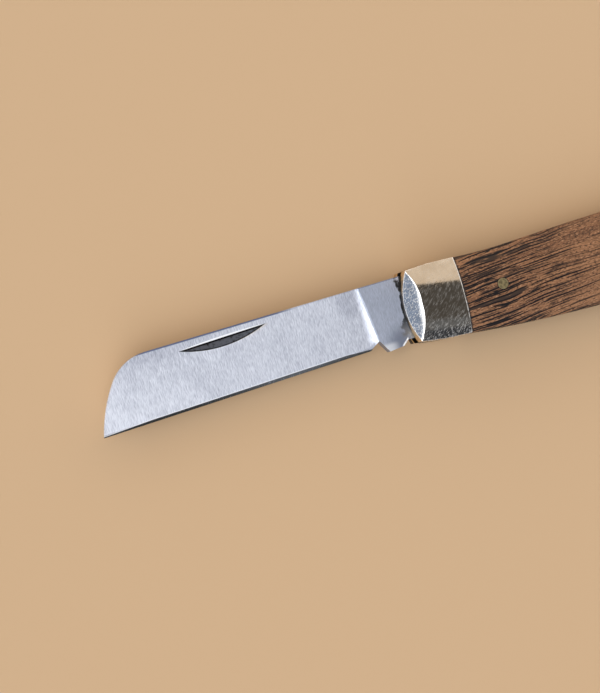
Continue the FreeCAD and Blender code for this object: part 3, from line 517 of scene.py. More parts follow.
# Grain of the covers: it runs a little askew along the handle, boldest behind the bolsters. Cells
# are lengths along and across the grain.
GRAIN_TURN = math.radians(3.6)
GRAIN_SPAN = (-14.0, 13.0)
GRAIN_END = 97.0
END_GRAIN_FINENESS = 12.0
TABLE_CELLS = 256
WAVE_CELL = (14, 5)
WAVE_SWAY = 1.3
RIPPLE_CELL = (4, 2)
RIPPLE_SWAY = 0.3
VESSELS = {
    "spacing": 0.64, "lengths": (6, 26), "gaps": (0.3, 5.0), "widths": (0.11, 0.19), "strengths": (0.6, 1.0)
}
SMOKY_BANDS = {
    "spacing": 1.7, "lengths": (7, 24), "gaps": (1.0, 10.0), "widths": (0.20, 0.55), "strengths": (0.4, 1.0)
}
LINE_WANDER = 0.35
DASH_WANDER = 0.15
DASH_MARGIN = 1.5
DASH_END = 0.4
RAGGED_CELL = (0.9, 0.3)
RAGGED_LEAST = 0.75
RAGGED_MORE = 0.5
CALM_START = 19.0
CALM_RUN = 16.0
VESSEL_STRENGTH = 1.22
VESSEL_CALM = 0.70
SMOKE_STRENGTH = 1.15
SMOKE_CALM = 0.80
BAND_CELL = (34, 1.7)
BAND_SHARE = 0.6
STREAK_CELL = (15, 0.6)
STREAK_SHARE = 0.4
TONE_CALM = 0.12
GRIME_REACH = 0.16
PORE_DEPTH = 0.09
PORE_MARGIN = 0.4


def drift(along, across, cell, seed):
    """Smooth random heights from 0 to 1 on a lattice of cells."""
    table = np.random.default_rng(seed).random((TABLE_CELLS, TABLE_CELLS))
    along = along / cell[0]
    across = across / cell[1]
    i = np.floor(along).astype(int)
    j = np.floor(across).astype(int)
    f = along - i
    g = across - j
    f = f * f * (3 - 2 * f)
    g = g * g * (3 - 2 * g)
    here, next_i = i % TABLE_CELLS, (i + 1) % TABLE_CELLS
    level, next_j = j % TABLE_CELLS, (j + 1) % TABLE_CELLS
    near = table[here, level] * (1 - g) + table[here, next_j] * g
    far = table[next_i, level] * (1 - g) + table[next_i, next_j] * g
    return near * (1 - f) + far * f


def strung_dashes(draw, spacing, lengths, gaps, widths, strengths):
    """Dashes strung along lines of the grain: where each lies along and across, and how long, wide
    and strong it is. Every line wanders a little from its place, and every dash from its line."""
    dashes = []
    for line in np.arange(*GRAIN_SPAN, spacing):
        height = line + draw.uniform(-LINE_WANDER, LINE_WANDER) * spacing
        reach = draw.uniform(0, lengths[1] / 2)
        while reach < GRAIN_END:
            length = draw.uniform(*lengths)
            aside = height + draw.normal(0, DASH_WANDER * spacing)
            width = draw.uniform(*widths)
            dashes.append((reach + length / 2, aside, length, width, draw.uniform(*strengths)))
            reach += length + draw.uniform(*gaps)
    return dashes


def drawn_dashes(along, across, dashes, seed):
    """Dashes laid on the surface, 0 to 1: each tapers to both ends, is a flat-topped curve of the
    distance across it, and has ragged sides. Arrays are sections by rows."""
    ragged = RAGGED_LEAST + RAGGED_MORE * drift(along, across, RAGGED_CELL, seed)
    column = along.mean(axis=1)
    found = np.zeros_like(along)
    for middle, height, length, width, strength in dashes:
        ends = (middle - length / 2 - DASH_MARGIN, middle + length / 2 + DASH_MARGIN)
        first, last = np.searchsorted(column, ends)
        run = (along[first:last] - middle) / (length / 2)
        taper = np.sqrt(np.clip(1 - run * run, 0, 1))
        half = width * (DASH_END + (1 - DASH_END) * taper) * ragged[first:last]
        aside = (across[first:last] - height) / half
        depth = strength * np.sqrt(taper) * np.exp(-aside ** 4)
        found[first:last] = np.maximum(found[first:last], depth)
    return found


def cover_mesh(name, side, seed):
    """The plain cover with its vessels cut in, as a closed tube with a flat cap at the bolster and at
    the end of the butt, and the grain painted on its points. Down the walls the grain is unrolled,
    and round the butt it turns into end grain."""
    x, y, z, inside, down, outward = plain_cover()
    end_grain = np.clip((x - butt_middle[0]) / BUTT_RADIUS, 0, 1)
    unrolled = y + outward * down * (1 - end_grain)
    along = x * math.cos(GRAIN_TURN) + unrolled * math.sin(GRAIN_TURN)
    across = unrolled * math.cos(GRAIN_TURN) - x * math.sin(GRAIN_TURN)
    wave = WAVE_SWAY * drift(along, across, WAVE_CELL, seed)
    across = across + wave + RIPPLE_SWAY * drift(along, across, RIPPLE_CELL, seed + 1)

    draw = np.random.default_rng(seed)
    vessels = strung_dashes(draw, **VESSELS)
    bands = strung_dashes(draw, **SMOKY_BANDS)
    calm = np.clip((along - CALM_START) / CALM_RUN, 0, 1)
    lengthwise = 1 - end_grain * np.abs(outward)
    pore = drawn_dashes(along, across, vessels, seed + 2)
    pore = pore * (VESSEL_STRENGTH - VESSEL_CALM * calm) * lengthwise
    smoke = drawn_dashes(along, across, bands, seed + 2)
    smoke = smoke * (SMOKE_STRENGTH - SMOKE_CALM * calm) * lengthwise
    tone = BAND_SHARE * drift(along, across, BAND_CELL, seed + 3)
    tone = tone + STREAK_SHARE * drift(along, across, STREAK_CELL, seed + 4) - TONE_CALM * calm
    grime = np.exp(-np.clip(x - JOINT - RAKE * y, 0, None) / GRIME_REACH)
    z = z - PORE_DEPTH * np.clip(pore, 0, 1) * np.clip(inside / PORE_MARGIN, 0, 1)

    sections, rows = x.shape
    place = np.stack((x, y, side * z), axis=-1).reshape(-1, 3) + pivot
    i = np.arange(sections - 1)[:, None] * rows
    j = np.arange(rows)[None, :]
    after = (j + 1) % rows
    faces = np.stack((i + j, i + rows + j, i + rows + after, i + after), axis=-1).reshape(-1, 4)
    caps = (np.arange(rows), np.arange(rows)[::-1] + (sections - 1) * rows)
    faces = faces[:, ::side].tolist() + [cap[::side].tolist() for cap in caps]
    mesh = bpy.data.meshes.new(name)
    mesh.from_pydata(place * TO_METRES, [], faces)
    along = along + END_GRAIN_FINENESS * end_grain * down
    painted = {"along": along, "across": across, "pore": pore, "smoke": smoke, "tone": tone, "grime": grime}
    for word, values in painted.items():
        layer = mesh.attributes.new(word, "FLOAT", "POINT")
        layer.data.foreach_set("value", values.ravel().astype(np.float32))
    mesh.shade_smooth()
    mesh.set_sharp_from_angle(angle=SHARP_TURN)
    return mesh


# Finish of the covers: brown wood rubbed with oil. Vessels, threads and smoky bands are darker than
# the fibres, and dirt lies at the bolster and round the pins.
WOOD_PALE = (0.418, 0.230, 0.128, 1.0)
WOOD_LIGHT = (0.330, 0.163, 0.080, 1.0)
WOOD_DARK = (0.160, 0.075, 0.041, 1.0)
WOOD_SMOKE = (0.050, 0.032, 0.024, 1.0)
PORE_DARK = (0.012, 0.011, 0.012, 1.0)
PIN_RADIUS = 1.15
PIN_SPOTS = ((15.6, 1.0, 0.0), (44.5, 6.0, 0.0), (77.5, 4.6, 0.0))
PIN_DIRT = (0.03, 0.20)
THREAD_LEVEL = 0.5
THREAD_WIDTH = (0.045, 0.015)
THREAD_STRETCH = (0.40, 0.55)
THREAD_CALM = (CALM_START, 36.0)
THREAD_CALM_SHARE = -0.65
TONE_BROWN = 0.8
FIBRE_BROWN = 1.4
FLECK_BROWN = 0.7
BROWN_RANGE = (1.02, 1.95)
FLECK_PALE = (0.46, 0.30)
FLECK_DARK = (0.54, 0.68)
SMEAR_FIBRE = 2.4
SMEAR_LEVEL = 1.2
SMEAR_RANGE = (0.45, 0.85)
SMOKE_RANGE = (0.0, 0.3)
PORE_RANGE = (0.12, 0.60)
WOOD_ROUGH = 0.34
FIBRE_ROUGH = 0.25
FIBRE_RELIEF = 0.015
FLECK_RELIEF = 0.015
WOOD_SHINE = 0.15


def oiled_wood():
    """Brown wood whose fibres, flecks, smoky bands and vessels run along the grain."""
    material, tree, shader = new_finish("oiled_open_grained_wood")
    layer = {}
    for name in ("along", "across", "pore", "smoke", "tone", "grime"):
        layer[name] = add(tree, "ShaderNodeAttribute", attribute_name=name).outputs["Fac"]

    def grain_noise(along, across, detail):
        """Noise with so many waves to the millimetre along and across the grain."""
        spot = add(tree, "ShaderNodeCombineXYZ", {
            0: work(tree, "MULTIPLY", layer["along"], along),
            1: work(tree, "MULTIPLY", layer["across"], across),
        })
        noise = {"Vector": spot.outputs[0], "Scale": 1.0, "Detail": detail}
        return add(tree, "ShaderNodeTexNoise", noise).outputs["Fac"]

    fibre = grain_noise(along=0.30, across=5.0, detail=4.0)
    fleck = grain_noise(along=1.6, across=4.0, detail=3.0)
    # Thin dark threads lie where a slow noise passes its middle level.
    thread = work(tree, "SUBTRACT", grain_noise(along=0.07, across=1.7, detail=2.0), THREAD_LEVEL)
    thread = ease(tree, work(tree, "ABSOLUTE", thread), *THREAD_WIDTH)
    stretch = ease(tree, grain_noise(along=0.25, across=1.1, detail=1.0), *THREAD_STRETCH)
    bold = work(tree, "MULTIPLY_ADD", ease(tree, layer["along"], *THREAD_CALM), THREAD_CALM_SHARE, 1.0)
    thread = both(tree, thread, stretch, bold)
    brown = work(tree, "MULTIPLY", layer["tone"], TONE_BROWN)
    brown = work(tree, "ADD", brown, work(tree, "MULTIPLY", fibre, FIBRE_BROWN))
    brown = work(tree, "MULTIPLY_ADD", fleck, FLECK_BROWN, brown)
    smear = work(tree, "SUBTRACT", layer["smoke"], SMEAR_LEVEL)
    smear = work(tree, "MULTIPLY_ADD", fibre, SMEAR_FIBRE, smear)
    smear = both(tree, ease(tree, smear, *SMEAR_RANGE), ease(tree, layer["smoke"], *SMOKE_RANGE))
    place = about_pivot(tree)[0]
    gaps = [work(tree, "SUBTRACT", flat_distance(tree, place, spot), PIN_RADIUS) for spot in PIN_SPOTS]
    dirt = either(tree, layer["grime"], *[without(tree, ease(tree, gap, *PIN_DIRT)) for gap in gaps])
    colour = mix(tree, ease(tree, brown, *BROWN_RANGE), WOOD_LIGHT, WOOD_DARK)
    colour = mix(tree, ease(tree, fleck, *FLECK_PALE), colour, WOOD_PALE)
    colour = mix(tree, ease(tree, fleck, *FLECK_DARK), colour, WOOD_SMOKE)
    colour = mix(tree, thread, colour, PORE_DARK)
    colour = mix(tree, smear, colour, WOOD_SMOKE)
    colour = mix(tree, ease(tree, layer["pore"], *PORE_RANGE), colour, PORE_DARK)
    feed(tree, shader, {
        "Base Color": mix(tree, dirt, colour, PORE_DARK),
        "Roughness": work(tree, "MULTIPLY_ADD", fibre, FIBRE_ROUGH, WOOD_ROUGH),
        "Normal": bump(tree, fleck, FLECK_RELIEF, under=bump(tree, fibre, FIBRE_RELIEF)),
    })
    shader.inputs["Specular IOR Level"].default_value = WOOD_SHINE
    return material


wood = oiled_wood()
for word, side, seed in (("mark", 1, 7), ("pile", -1, 31)):
    cover = bpy.data.objects.new(f"wood_cover_{word}", cover_mesh(f"wood_cover_{word}", side, seed))
    scene.collection.objects.link(cover)
    cover.data.materials.append(wood)
    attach(cover, "handle")
    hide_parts(f"cover_{word}")


# Pins of the covers: brass wire, hammered over the liners inside and filed flush with the wood.
# Two more pins of the same wire go right through the handle and hold the back spring.
PIN_BRASS = (0.66, 0.56, 0.31, 1.0)
PIN_DULL = (0.31, 0.26, 0.15, 1.0)
PIN_RIM = 0.35
PIN_ROUGH = 0.40
PIN_MARKS_ROUGH = 0.15
PIN_MARKS_RELIEF = 0.006


def flush_brass():
    """Dull brass, crossed by file marks and bright round the rim."""
    material, tree, shader = new_finish("dull_pin_brass")
    place = about_pivot(tree)[0]
    patches = effect(tree, tarnish, place, Size=0.55, Low=0.38, High=0.66)["Mask"]
    marks = effect(tree, hairlines, place, Turn=0.4, Fineness=5.0, Length=1.0)
    reaches = [flat_distance(tree, place, spot) for spot in PIN_SPOTS]
    middle = either(tree, *[ease(tree, reach, PIN_RADIUS, PIN_RADIUS - PIN_RIM) for reach in reaches])
    feed(tree, shader, {
        "Base Color": mix(tree, both(tree, patches, middle), PIN_BRASS, PIN_DULL),
        "Roughness": work(tree, "MULTIPLY_ADD", marks["Scratch"], PIN_MARKS_ROUGH, PIN_ROUGH),
        "Normal": bump(tree, marks["Height"], PIN_MARKS_RELIEF),
    })
    shader.inputs["Metallic"].default_value = 1.0
    return material


dress(flush_brass(), "cover_pin_mark", "cover_pin_pile", "spring_pin", "end_pin")


# Back spring: one bar of hardened steel between the liners, pinned at its middle and its end. Its
# back is filed flush with the liners and polished along its length.
SPRING_BRIGHT = (0.60, 0.61, 0.64, 1.0)
SPRING_DULL = (0.44, 0.45, 0.48, 1.0)
SPRING_ROUGH = 0.24
SPRING_LINES_ROUGH = 0.18
SPRING_LINES_RELIEF = 0.003


def polished_spring():
    """Steel with soft grey patches and polishing lines along the handle."""
    material, tree, shader = new_finish("polished_spring_steel")
    place = about_pivot(tree)[0]
    patches = effect(tree, tarnish, place, Size=4.0, Low=0.40, High=0.70)["Mask"]
    lines = effect(tree, hairlines, place, Turn=LENGTHWISE, Fineness=9.0, Length=2.6)
    feed(tree, shader, {
        "Base Color": mix(tree, patches, SPRING_BRIGHT, SPRING_DULL),
        "Roughness": work(tree, "MULTIPLY_ADD", lines["Scratch"], SPRING_LINES_ROUGH, SPRING_ROUGH),
        "Normal": bump(tree, lines["Height"], SPRING_LINES_RELIEF),
    })
    shader.inputs["Metallic"].default_value = 1.0
    return material


dress(polished_spring(), "back_spring")


# Blade: one forging of carbon steel with its tang, kick and nail nick, which turns on the pivot pin.
# The faces are ground across on a wheel and left satin, the hollow at the end of the grind is bright, the
# whetted edge is coarse, with a painted dark reflection, and the struck nick keeps its black scale, with a
# painted shadow along its brink. Painted highlights lie on burnished lines and rubbed corners.
SATIN_LIGHT = (0.93, 0.94, 0.99, 1.0)
SATIN_GREY = (0.438, 0.448, 0.514, 1.0)
# Painted highlight: a near-white, less metallic colour on burnished lines, the nick's lip, the kick's rubbed
# corner and its sole.
BURNISHED_HIGHLIGHT = (1.0, 1.0, 1.0, 1.0)
BURNISHED_HIGHLIGHT_SCATTER = -0.6
SATIN_ROUGH = 0.37
GRAIN_ROUGH = 0.16
GRIND_RELIEF = 0.010
GRAIN_RELIEF = 0.004
GRIND_STRETCH = 0.8
LEAST_GREY = -1.05
CLOUD_GREY = 0.20
GRIND_GREY = 0.9
GRAIN_GREY = 1.8
TIP_GREY = -0.22
TIP_ALONG = (-52.0, -72.0)
TIP_ACROSS = (6.0, -3.0)
NOSE_GREY = 0.18
NOSE_ALONG = (-46.0, -56.0)
NOSE_ACROSS = (3.0, 6.5)
BACK_GREY = 0.13
BACK_ALONG = (-30.0, -38.0)
BACK_BELOW = (3.5, 0.3)
PLUNGE_GREY = 0.40
PLUNGE_FROM = (-7.0, -4.0)
PLUNGE_UNTIL = (-0.8, -2.2)
PLUNGE_ACROSS = (2.0, 5.0)
PLUNGE_EDGE = 12.5
PLUNGE_LEAN = 0.118
NOTCH_DROP = 3.2
TANG_LIGHT = (0.56, 0.59, 0.68, 1.0)
TANG_GREY = (0.354, 0.376, 0.434, 1.0)
TANG_BORDER = (-0.15, 0.05)


# Nail nick: struck into the mark side for a thumbnail, with a straight side toward the spine and an arc
# below it. A lip stands above it and a faint one follows the arc, both painted white as highlights, and a
# black shadow is painted along its brink.
NICK_SCALE = (0.135, 0.160, 0.215, 1.0)
NICK_BLACK_SCALE_AND_SHADOW = (0.015, 0.015, 0.017, 1.0)
NICK_MIDDLE = (-44.35, 6.7, 0.0)
NICK_TURN = math.radians(1.7)
NICK_HALF = 9.6
NICK_WIDTH = 1.82
NICK_SIDE = 6.72
NICK_FACE = (0.0, 0.1)
NICK_ARC_BORDER = (-0.06, 0.06)
NICK_SIDE_BORDER = (-0.03, 0.03)
BRINK_BELOW_SIDE = 0.12
BRINK = (0.14, 0.34)
LIP_LEAST = 0.04
LIP_SWELL = 0.34
LIP_FROM = (0.0, 0.2)
LIP_UNTIL = (0.85, 1.1)
LIP_ENDS = (0.02, 0.2)
FOOT_FROM = (-0.22, -0.10)
FOOT_UNTIL = (-0.06, 0.0)
FOOT_ENDS = (0.0, 0.1)
FOOT_SHARE = 0.15


def nick_masks(tree, place, z):
    """The nick on the upper face, its brink with a painted black shadow, and the lip and foot that border it
    with a painted highlight. The arc is a parabola: the nick's width times 1 less the square of the way from
    its middle."""
    level = {"Vector": place, "Center": NICK_MIDDLE, "Angle": -NICK_TURN}
    level = add(tree, "ShaderNodeVectorRotate", level, rotation_type="Z_AXIS").outputs[0]
    level = add(tree, "ShaderNodeSeparateXYZ", {0: level}).outputs
    run = work(tree, "DIVIDE", work(tree, "SUBTRACT", level["X"], NICK_MIDDLE[0]), NICK_HALF)
    room = work(tree, "SUBTRACT", 1.0, work(tree, "MULTIPLY", run, run))
    below = work(tree, "SUBTRACT", NICK_SIDE, level["Y"])
    inside = work(tree, "SUBTRACT", work(tree, "MULTIPLY", room, NICK_WIDTH), below)
    upper = ease(tree, z, *NICK_FACE)
    nick = both(tree, ease(tree, inside, *NICK_ARC_BORDER), ease(tree, below, *NICK_SIDE_BORDER), upper)
    brink_shadow = work(tree, "MINIMUM", inside, work(tree, "SUBTRACT", below, BRINK_BELOW_SIDE))
    brink_shadow = without(tree, ease(tree, brink_shadow, *BRINK))
    lip = work(tree, "MULTIPLY_ADD", room, LIP_SWELL, LIP_LEAST)
    lip = work(tree, "DIVIDE", work(tree, "MULTIPLY", below, -1.0), lip)
    lip = both(tree, ease(tree, lip, *LIP_FROM), without(tree, ease(tree, lip, *LIP_UNTIL)))
    lip = both(tree, lip, ease(tree, room, *LIP_ENDS), upper)
    foot = both(tree, ease(tree, inside, *FOOT_FROM), without(tree, ease(tree, inside, *FOOT_UNTIL)))
    foot = both(tree, foot, ease(tree, room, *FOOT_ENDS), FOOT_SHARE, upper)
    return nick, brink_shadow, either(tree, lip, foot)


# Whetted edge: a bevel rubbed on with a coarse stone, narrow at the heel and toward the point, and painted
# near-black: partly its coarse finish, partly a painted dark reflection. The line where it meets the face is
# burnished and gets a painted highlight.
WHET_GREY_REFLECTION = (0.085, 0.09, 0.09, 1.0)
WHET_PALE_REFLECTION = (0.125, 0.13, 0.13, 1.0)
WHET_FADE = (-55.0, -30.0)
WHET_WIDTH = 0.72
WHET_TAPER = 0.0035
WHET_BORDER = (-0.04, 0.04)
WHET_SIDE = (-12.4, -12.6)
HEEL = (-14.5, -4.75)
HEEL_WIDTH = 0.34
HEEL_TAPER = -0.065
EDGE_FALL = 0.0246
POINT = -73.5
POINT_WIDTH = 0.20
POINT_TAPER = 0.034
HONE_FROM = (0.0, 0.05)
HONE_UNTIL = (0.10, 0.20)
HONE_ALONG = (-15.0, -25.0)
HONE_SHARE = 0.9


def edge_masks(tree, x, y):
    """The whetted bevel, painted dark, and the burnished line above it, painted as a highlight: places less
    high over the edge than the bevel is wide, which is the least of three straight tapers."""
    above = work(tree, "MULTIPLY_ADD", x, -EDGE_FALL, y)
    above = work(tree, "SUBTRACT", above, HEEL[1] - EDGE_FALL * HEEL[0])
    from_heel = work(tree, "SUBTRACT", x, HEEL[0])
    from_point = work(tree, "SUBTRACT", x, POINT)
    width = work(tree, "MULTIPLY_ADD", from_heel, WHET_TAPER, WHET_WIDTH)
    width = work(tree, "MINIMUM", width, work(tree, "MULTIPLY_ADD", from_heel, HEEL_TAPER, HEEL_WIDTH))
    width = work(tree, "MINIMUM", width, work(tree, "MULTIPLY_ADD", from_point, POINT_TAPER, POINT_WIDTH))
    over = work(tree, "SUBTRACT", above, width)
    blade_side = ease(tree, x, *WHET_SIDE)
    whet = both(tree, without(tree, ease(tree, over, *WHET_BORDER)), blade_side)
    hone_highlight = both(tree, ease(tree, over, *HONE_FROM), without(tree, ease(tree, over, *HONE_UNTIL)), blade_side)
    return whet, both(tree, hone_highlight, ease(tree, x, *HONE_ALONG), HONE_SHARE)


# Spine: its corner is broken with a stone, and a dark blue reflection of that rounding is painted along the
# faces' upper border. The upright walls are left grey from the forging, but are ground like the faces toward
# the nose.
WALL_GREY = (0.28, 0.28, 0.30, 1.0)
CORNER_BLUE_REFLECTION = (0.14, 0.17, 0.27, 1.0)
SPINE_LEVEL = 8.65
SPINE_FALL = 0.00516
SPINE_HALF = 1.177
SPINE_TAPER = 0.0053
SPINE_FACE = (0.14, 0.06)
SPINE_WALL = (0.12, 0.05)
SPINE_WALL_ALONG = (-61.0, -30.0)
TANG_WALL = (1.23, 1.15)
CORNER_THIN = (0.24, 0.12)
CORNER_THIN_SHARE = 0.25
CORNER_TANG_SHARE = 0.35
CORNER_BROAD = (0.40, 0.20)
CORNER_BROAD_ALONG = (-25.0, -33.0)


def spine_masks(tree, x, y, z, tang):
    """How far a place lies below the spine, the corner of the faces with its painted dark reflection, and
    the grey walls.
    """
    below = work(tree, "SUBTRACT", work(tree, "MULTIPLY_ADD", x, SPINE_FALL, SPINE_LEVEL), y)
    height = work(tree, "ABSOLUTE", z)
    sunk = work(tree, "SUBTRACT", work(tree, "MULTIPLY_ADD", x, SPINE_TAPER, SPINE_HALF), height)
    on_face = ease(tree, sunk, *SPINE_FACE)
    thin = work(tree, "MULTIPLY_ADD", tang, CORNER_TANG_SHARE, CORNER_THIN_SHARE)
    thin = both(tree, ease(tree, below, *CORNER_THIN), thin)
    broad = both(tree, ease(tree, below, *CORNER_BROAD), ease(tree, x, *CORNER_BROAD_ALONG))
    corner_reflection = both(tree, either(tree, broad, thin), on_face)
    back = both(tree, ease(tree, below, *SPINE_WALL), without(tree, on_face))
    back = both(tree, back, ease(tree, x, *SPINE_WALL_ALONG))
    return below, corner_reflection, either(tree, both(tree, tang, ease(tree, height, *TANG_WALL)), back)


# Tang: its kick gets painted shade at the root, a painted highlight along the sole and at its rubbed rear
# corner, and in front of the bolster a wiping cloth's dirt with painted shade, black toward the back and
# grey toward the belly.
KICK_SHADE = (0.24, 0.265, 0.33, 1.0)
KICK_SHADE_MIDDLE = (-7.6, -4.6, 0.0)
KICK_SHADE_REACH = (4.8, 0.6)
KICK_SOLE = (-3.9, -4.9)
KICK_SOLE_ALONG = (-8.0, -10.6)
KICK_SOLE_SHARE = 0.65
KICK_REAR = (7.6, 5.63)
KICK_COS = 0.759
KICK_SIN = 0.652
KICK_RUBBED = (0.40, 0.25)
KICK_RUBBED_FROM = (-8.2, -7.6)
KICK_RUBBED_UNTIL = (-6.2, -6.4)
SMUDGE_BLACK_AND_SHADE = (0.035, 0.033, 0.030, 1.0)
SMUDGE_GREY_AND_SHADE = (0.20, 0.205, 0.22, 1.0)
SMUDGE_TONE = (-3.0, 0.5)
SMUDGE_REACH = 0.35
SMUDGE_BACK = (5.0, 8.4)
SMUDGE_BACK_REACH = 1.7
SMUDGE_BELLY = (0.5, -2.0)
SMUDGE_BELLY_REACH = 2.2
SMUDGE_CLOSE_SHARE = 0.8
SMUDGE_DIRT_SHARE = 0.7
SMUDGE_RANGE = (0.45, 1.0)
SMUDGE_END = (0.0, 0.4)


def tang_masks(tree, place, x, y):
    """The rubbed rear corner of the kick, which gets a painted highlight, and the dirt with painted shade,
    which thins out with the distance from the bolster over its own reach."""
    aside = work(tree, "MULTIPLY", work(tree, "ADD", x, KICK_REAR[0]), -KICK_SIN)
    aside = work(tree, "MULTIPLY_ADD", work(tree, "ADD", y, KICK_REAR[1]), KICK_COS, aside)
    lit_and_rubbed = both(tree, ease(tree, aside, *KICK_RUBBED), ease(tree, x, *KICK_RUBBED_FROM))
    lit_and_rubbed = both(tree, lit_and_rubbed, ease(tree, x, *KICK_RUBBED_UNTIL))
    reach = work(tree, "MULTIPLY_ADD", ease(tree, y, *SMUDGE_BACK), SMUDGE_BACK_REACH, SMUDGE_REACH)
    reach = work(tree, "MULTIPLY_ADD", ease(tree, y, *SMUDGE_BELLY), SMUDGE_BELLY_REACH, reach)
    close = work(tree, "SUBTRACT", 1.0, work(tree, "DIVIDE", ahead_of_bolster(tree, place), reach))
    dirt = effect(tree, tarnish, place, Size=1.0, Low=0.30, High=0.70)["Mask"]
    smudge_and_shade = work(tree, "MULTIPLY", close, SMUDGE_CLOSE_SHARE)
    smudge_and_shade = work(tree, "ADD", smudge_and_shade, work(tree, "MULTIPLY", dirt, SMUDGE_DIRT_SHARE))
    return lit_and_rubbed, both(tree, ease(tree, smudge_and_shade, *SMUDGE_RANGE), ease(tree, close, *SMUDGE_END))


def satin_steel():
    """Steel ground across, greyer or lighter from place to place, with the blade's regions on it."""
    material, tree, shader = new_finish("satin_blade_steel")
    place, parts = about_pivot(tree)
    x, y, z = parts["X"], parts["Y"], parts["Z"]
    # How far a place lies behind the end of the grind, which leans forward toward the spine.
    behind = work(tree, "MULTIPLY_ADD", y, PLUNGE_LEAN, PLUNGE_EDGE + PLUNGE_LEAN * NOTCH_DROP)
    behind = work(tree, "ADD", x, behind)
    tang = ease(tree, behind, *TANG_BORDER)
    nick, brink_shadow, rim = nick_masks(tree, place, z)
    whet, hone_highlight = edge_masks(tree, x, y)
    below, corner_reflection, wall = spine_masks(tree, x, y, z, tang)
    lit_and_rubbed, smudge_and_shade = tang_masks(tree, place, x, y)
    highlight_lines = either(tree, rim, hone_highlight, lit_and_rubbed)

    grind = effect(tree, hairlines, place, Turn=0.0, Fineness=4.6, Length=2.6)
    grain = effect(tree, hairlines, place, Turn=0.03, Fineness=8.0, Length=1.1)
    clouds = effect(tree, tarnish, place, Size=7.0, Low=0.32, High=0.70)["Mask"]
    near_plunge = both(tree, ease(tree, behind, *PLUNGE_FROM), ease(tree, behind, *PLUNGE_UNTIL))
    grey = work(tree, "MULTIPLY_ADD", clouds, CLOUD_GREY, LEAST_GREY)
    for found, share in (
        (grind["Height"], GRIND_GREY),
        (grain["Height"], GRAIN_GREY),
        (both(tree, ease(tree, x, *TIP_ALONG), ease(tree, y, *TIP_ACROSS)), TIP_GREY),
        (both(tree, ease(tree, x, *NOSE_ALONG), ease(tree, y, *NOSE_ACROSS)), NOSE_GREY),
        (both(tree, ease(tree, x, *BACK_ALONG), ease(tree, below, *BACK_BELOW)), BACK_GREY),
        (both(tree, near_plunge, ease(tree, y, *PLUNGE_ACROSS)), PLUNGE_GREY),
    ):
        grey = work(tree, "MULTIPLY_ADD", found, share, grey)
    grey = work(tree, "ADD", grey, 0.0, clamp=True)

    shade = ease(tree, flat_distance(tree, place, KICK_SHADE_MIDDLE), *KICK_SHADE_REACH)
    # Painted highlight along the kick's sole.
    sole_highlight = both(tree, ease(tree, y, *KICK_SOLE), ease(tree, x, *KICK_SOLE_ALONG), KICK_SOLE_SHARE)
    plain = mix(tree, shade, mix(tree, grey, TANG_LIGHT, TANG_GREY), KICK_SHADE)
    plain = mix(tree, sole_highlight, plain, BURNISHED_HIGHLIGHT)
    scale = effect(tree, tarnish, place, Size=0.7, Low=0.44, High=0.74)["Mask"]
    # Black scale on the nick's floor, and a black shadow painted along its brink.
    scale = mix(tree, either(tree, brink_shadow, scale), NICK_SCALE, NICK_BLACK_SCALE_AND_SHADOW)
    # Painted dark reflection on the coarse whetted bevel, lighter toward the heel.
    stoned_dark_reflection = mix(tree, ease(tree, x, *WHET_FADE), WHET_GREY_REFLECTION, WHET_PALE_REFLECTION)
    stoned_dark_reflection = mix(tree, grain["Scratch"], stoned_dark_reflection, TANG_GREY)
    # Dirt and painted shade in front of the bolster, black above and grey toward the belly.
    dirt = mix(tree, ease(tree, y, *SMUDGE_TONE), SMUDGE_GREY_AND_SHADE, SMUDGE_BLACK_AND_SHADE)
    colour = mix(tree, grey, SATIN_LIGHT, SATIN_GREY)
    for region, finish in (
        (tang, plain),
        (corner_reflection, CORNER_BLUE_REFLECTION),
        (highlight_lines, BURNISHED_HIGHLIGHT),
        (whet, stoned_dark_reflection),
        (nick, scale),
        (wall, WALL_GREY),
        (both(tree, smudge_and_shade, tang), dirt),
    ):
        colour = mix(tree, region, colour, finish)
    lined = bump(tree, grind["Height"], GRIND_RELIEF)
    feed(tree, shader, {
        "Base Color": colour,
        "Roughness": work(tree, "MULTIPLY_ADD", grain["Height"], GRAIN_ROUGH, SATIN_ROUGH),
        "Metallic": work(tree, "MULTIPLY_ADD", highlight_lines, BURNISHED_HIGHLIGHT_SCATTER, 1.0),
        "Normal": bump(tree, grain["Height"], GRAIN_RELIEF, under=lined),
        "Tangent": add(tree, "ShaderNodeTangent", direction_type="RADIAL", axis="Y").outputs[0],
    })
    shader.inputs["Anisotropic"].default_value = GRIND_STRETCH
    return material


dress(satin_steel(), "blade")

# Camera: almost straight above the open knife, leaning a little toward the point of the blade,
# with the knife running up to the right.
CAMERA_LEAN = math.radians(14.0)
CAMERA_TURN = math.radians(16.5)
CAMERA_DISTANCE = 480.0
CAMERA_TARGET = (-28.887, 0.4025, 0.0)
CAMERA_NEAREST = 0.01
SENSOR_WIDTH = 36.0
PICTURE_WIDTH = 600
PIXELS_PER_MM = 4.83
target = Vector((pivot + CAMERA_TARGET) * TO_METRES)
away = Vector((-math.sin(CAMERA_LEAN), 0, math.cos(CAMERA_LEAN)))
along = Vector((math.cos(CAMERA_LEAN), 0, math.sin(CAMERA_LEAN)))
across = Vector((0, 1, 0))
right = math.cos(CAMERA_TURN) * along - math.sin(CAMERA_TURN) * across
upward = math.sin(CAMERA_TURN) * along + math.cos(CAMERA_TURN) * across
pose = Matrix((right, upward, away)).transposed().to_4x4()
pose.translation = target + away * (CAMERA_DISTANCE * TO_METRES)
camera = bpy.data.objects.new("camera", bpy.data.cameras.new("camera"))
scene.collection.objects.link(camera)
camera.matrix_world = pose
camera.data.sensor_fit = "HORIZONTAL"
camera.data.sensor_width = SENSOR_WIDTH
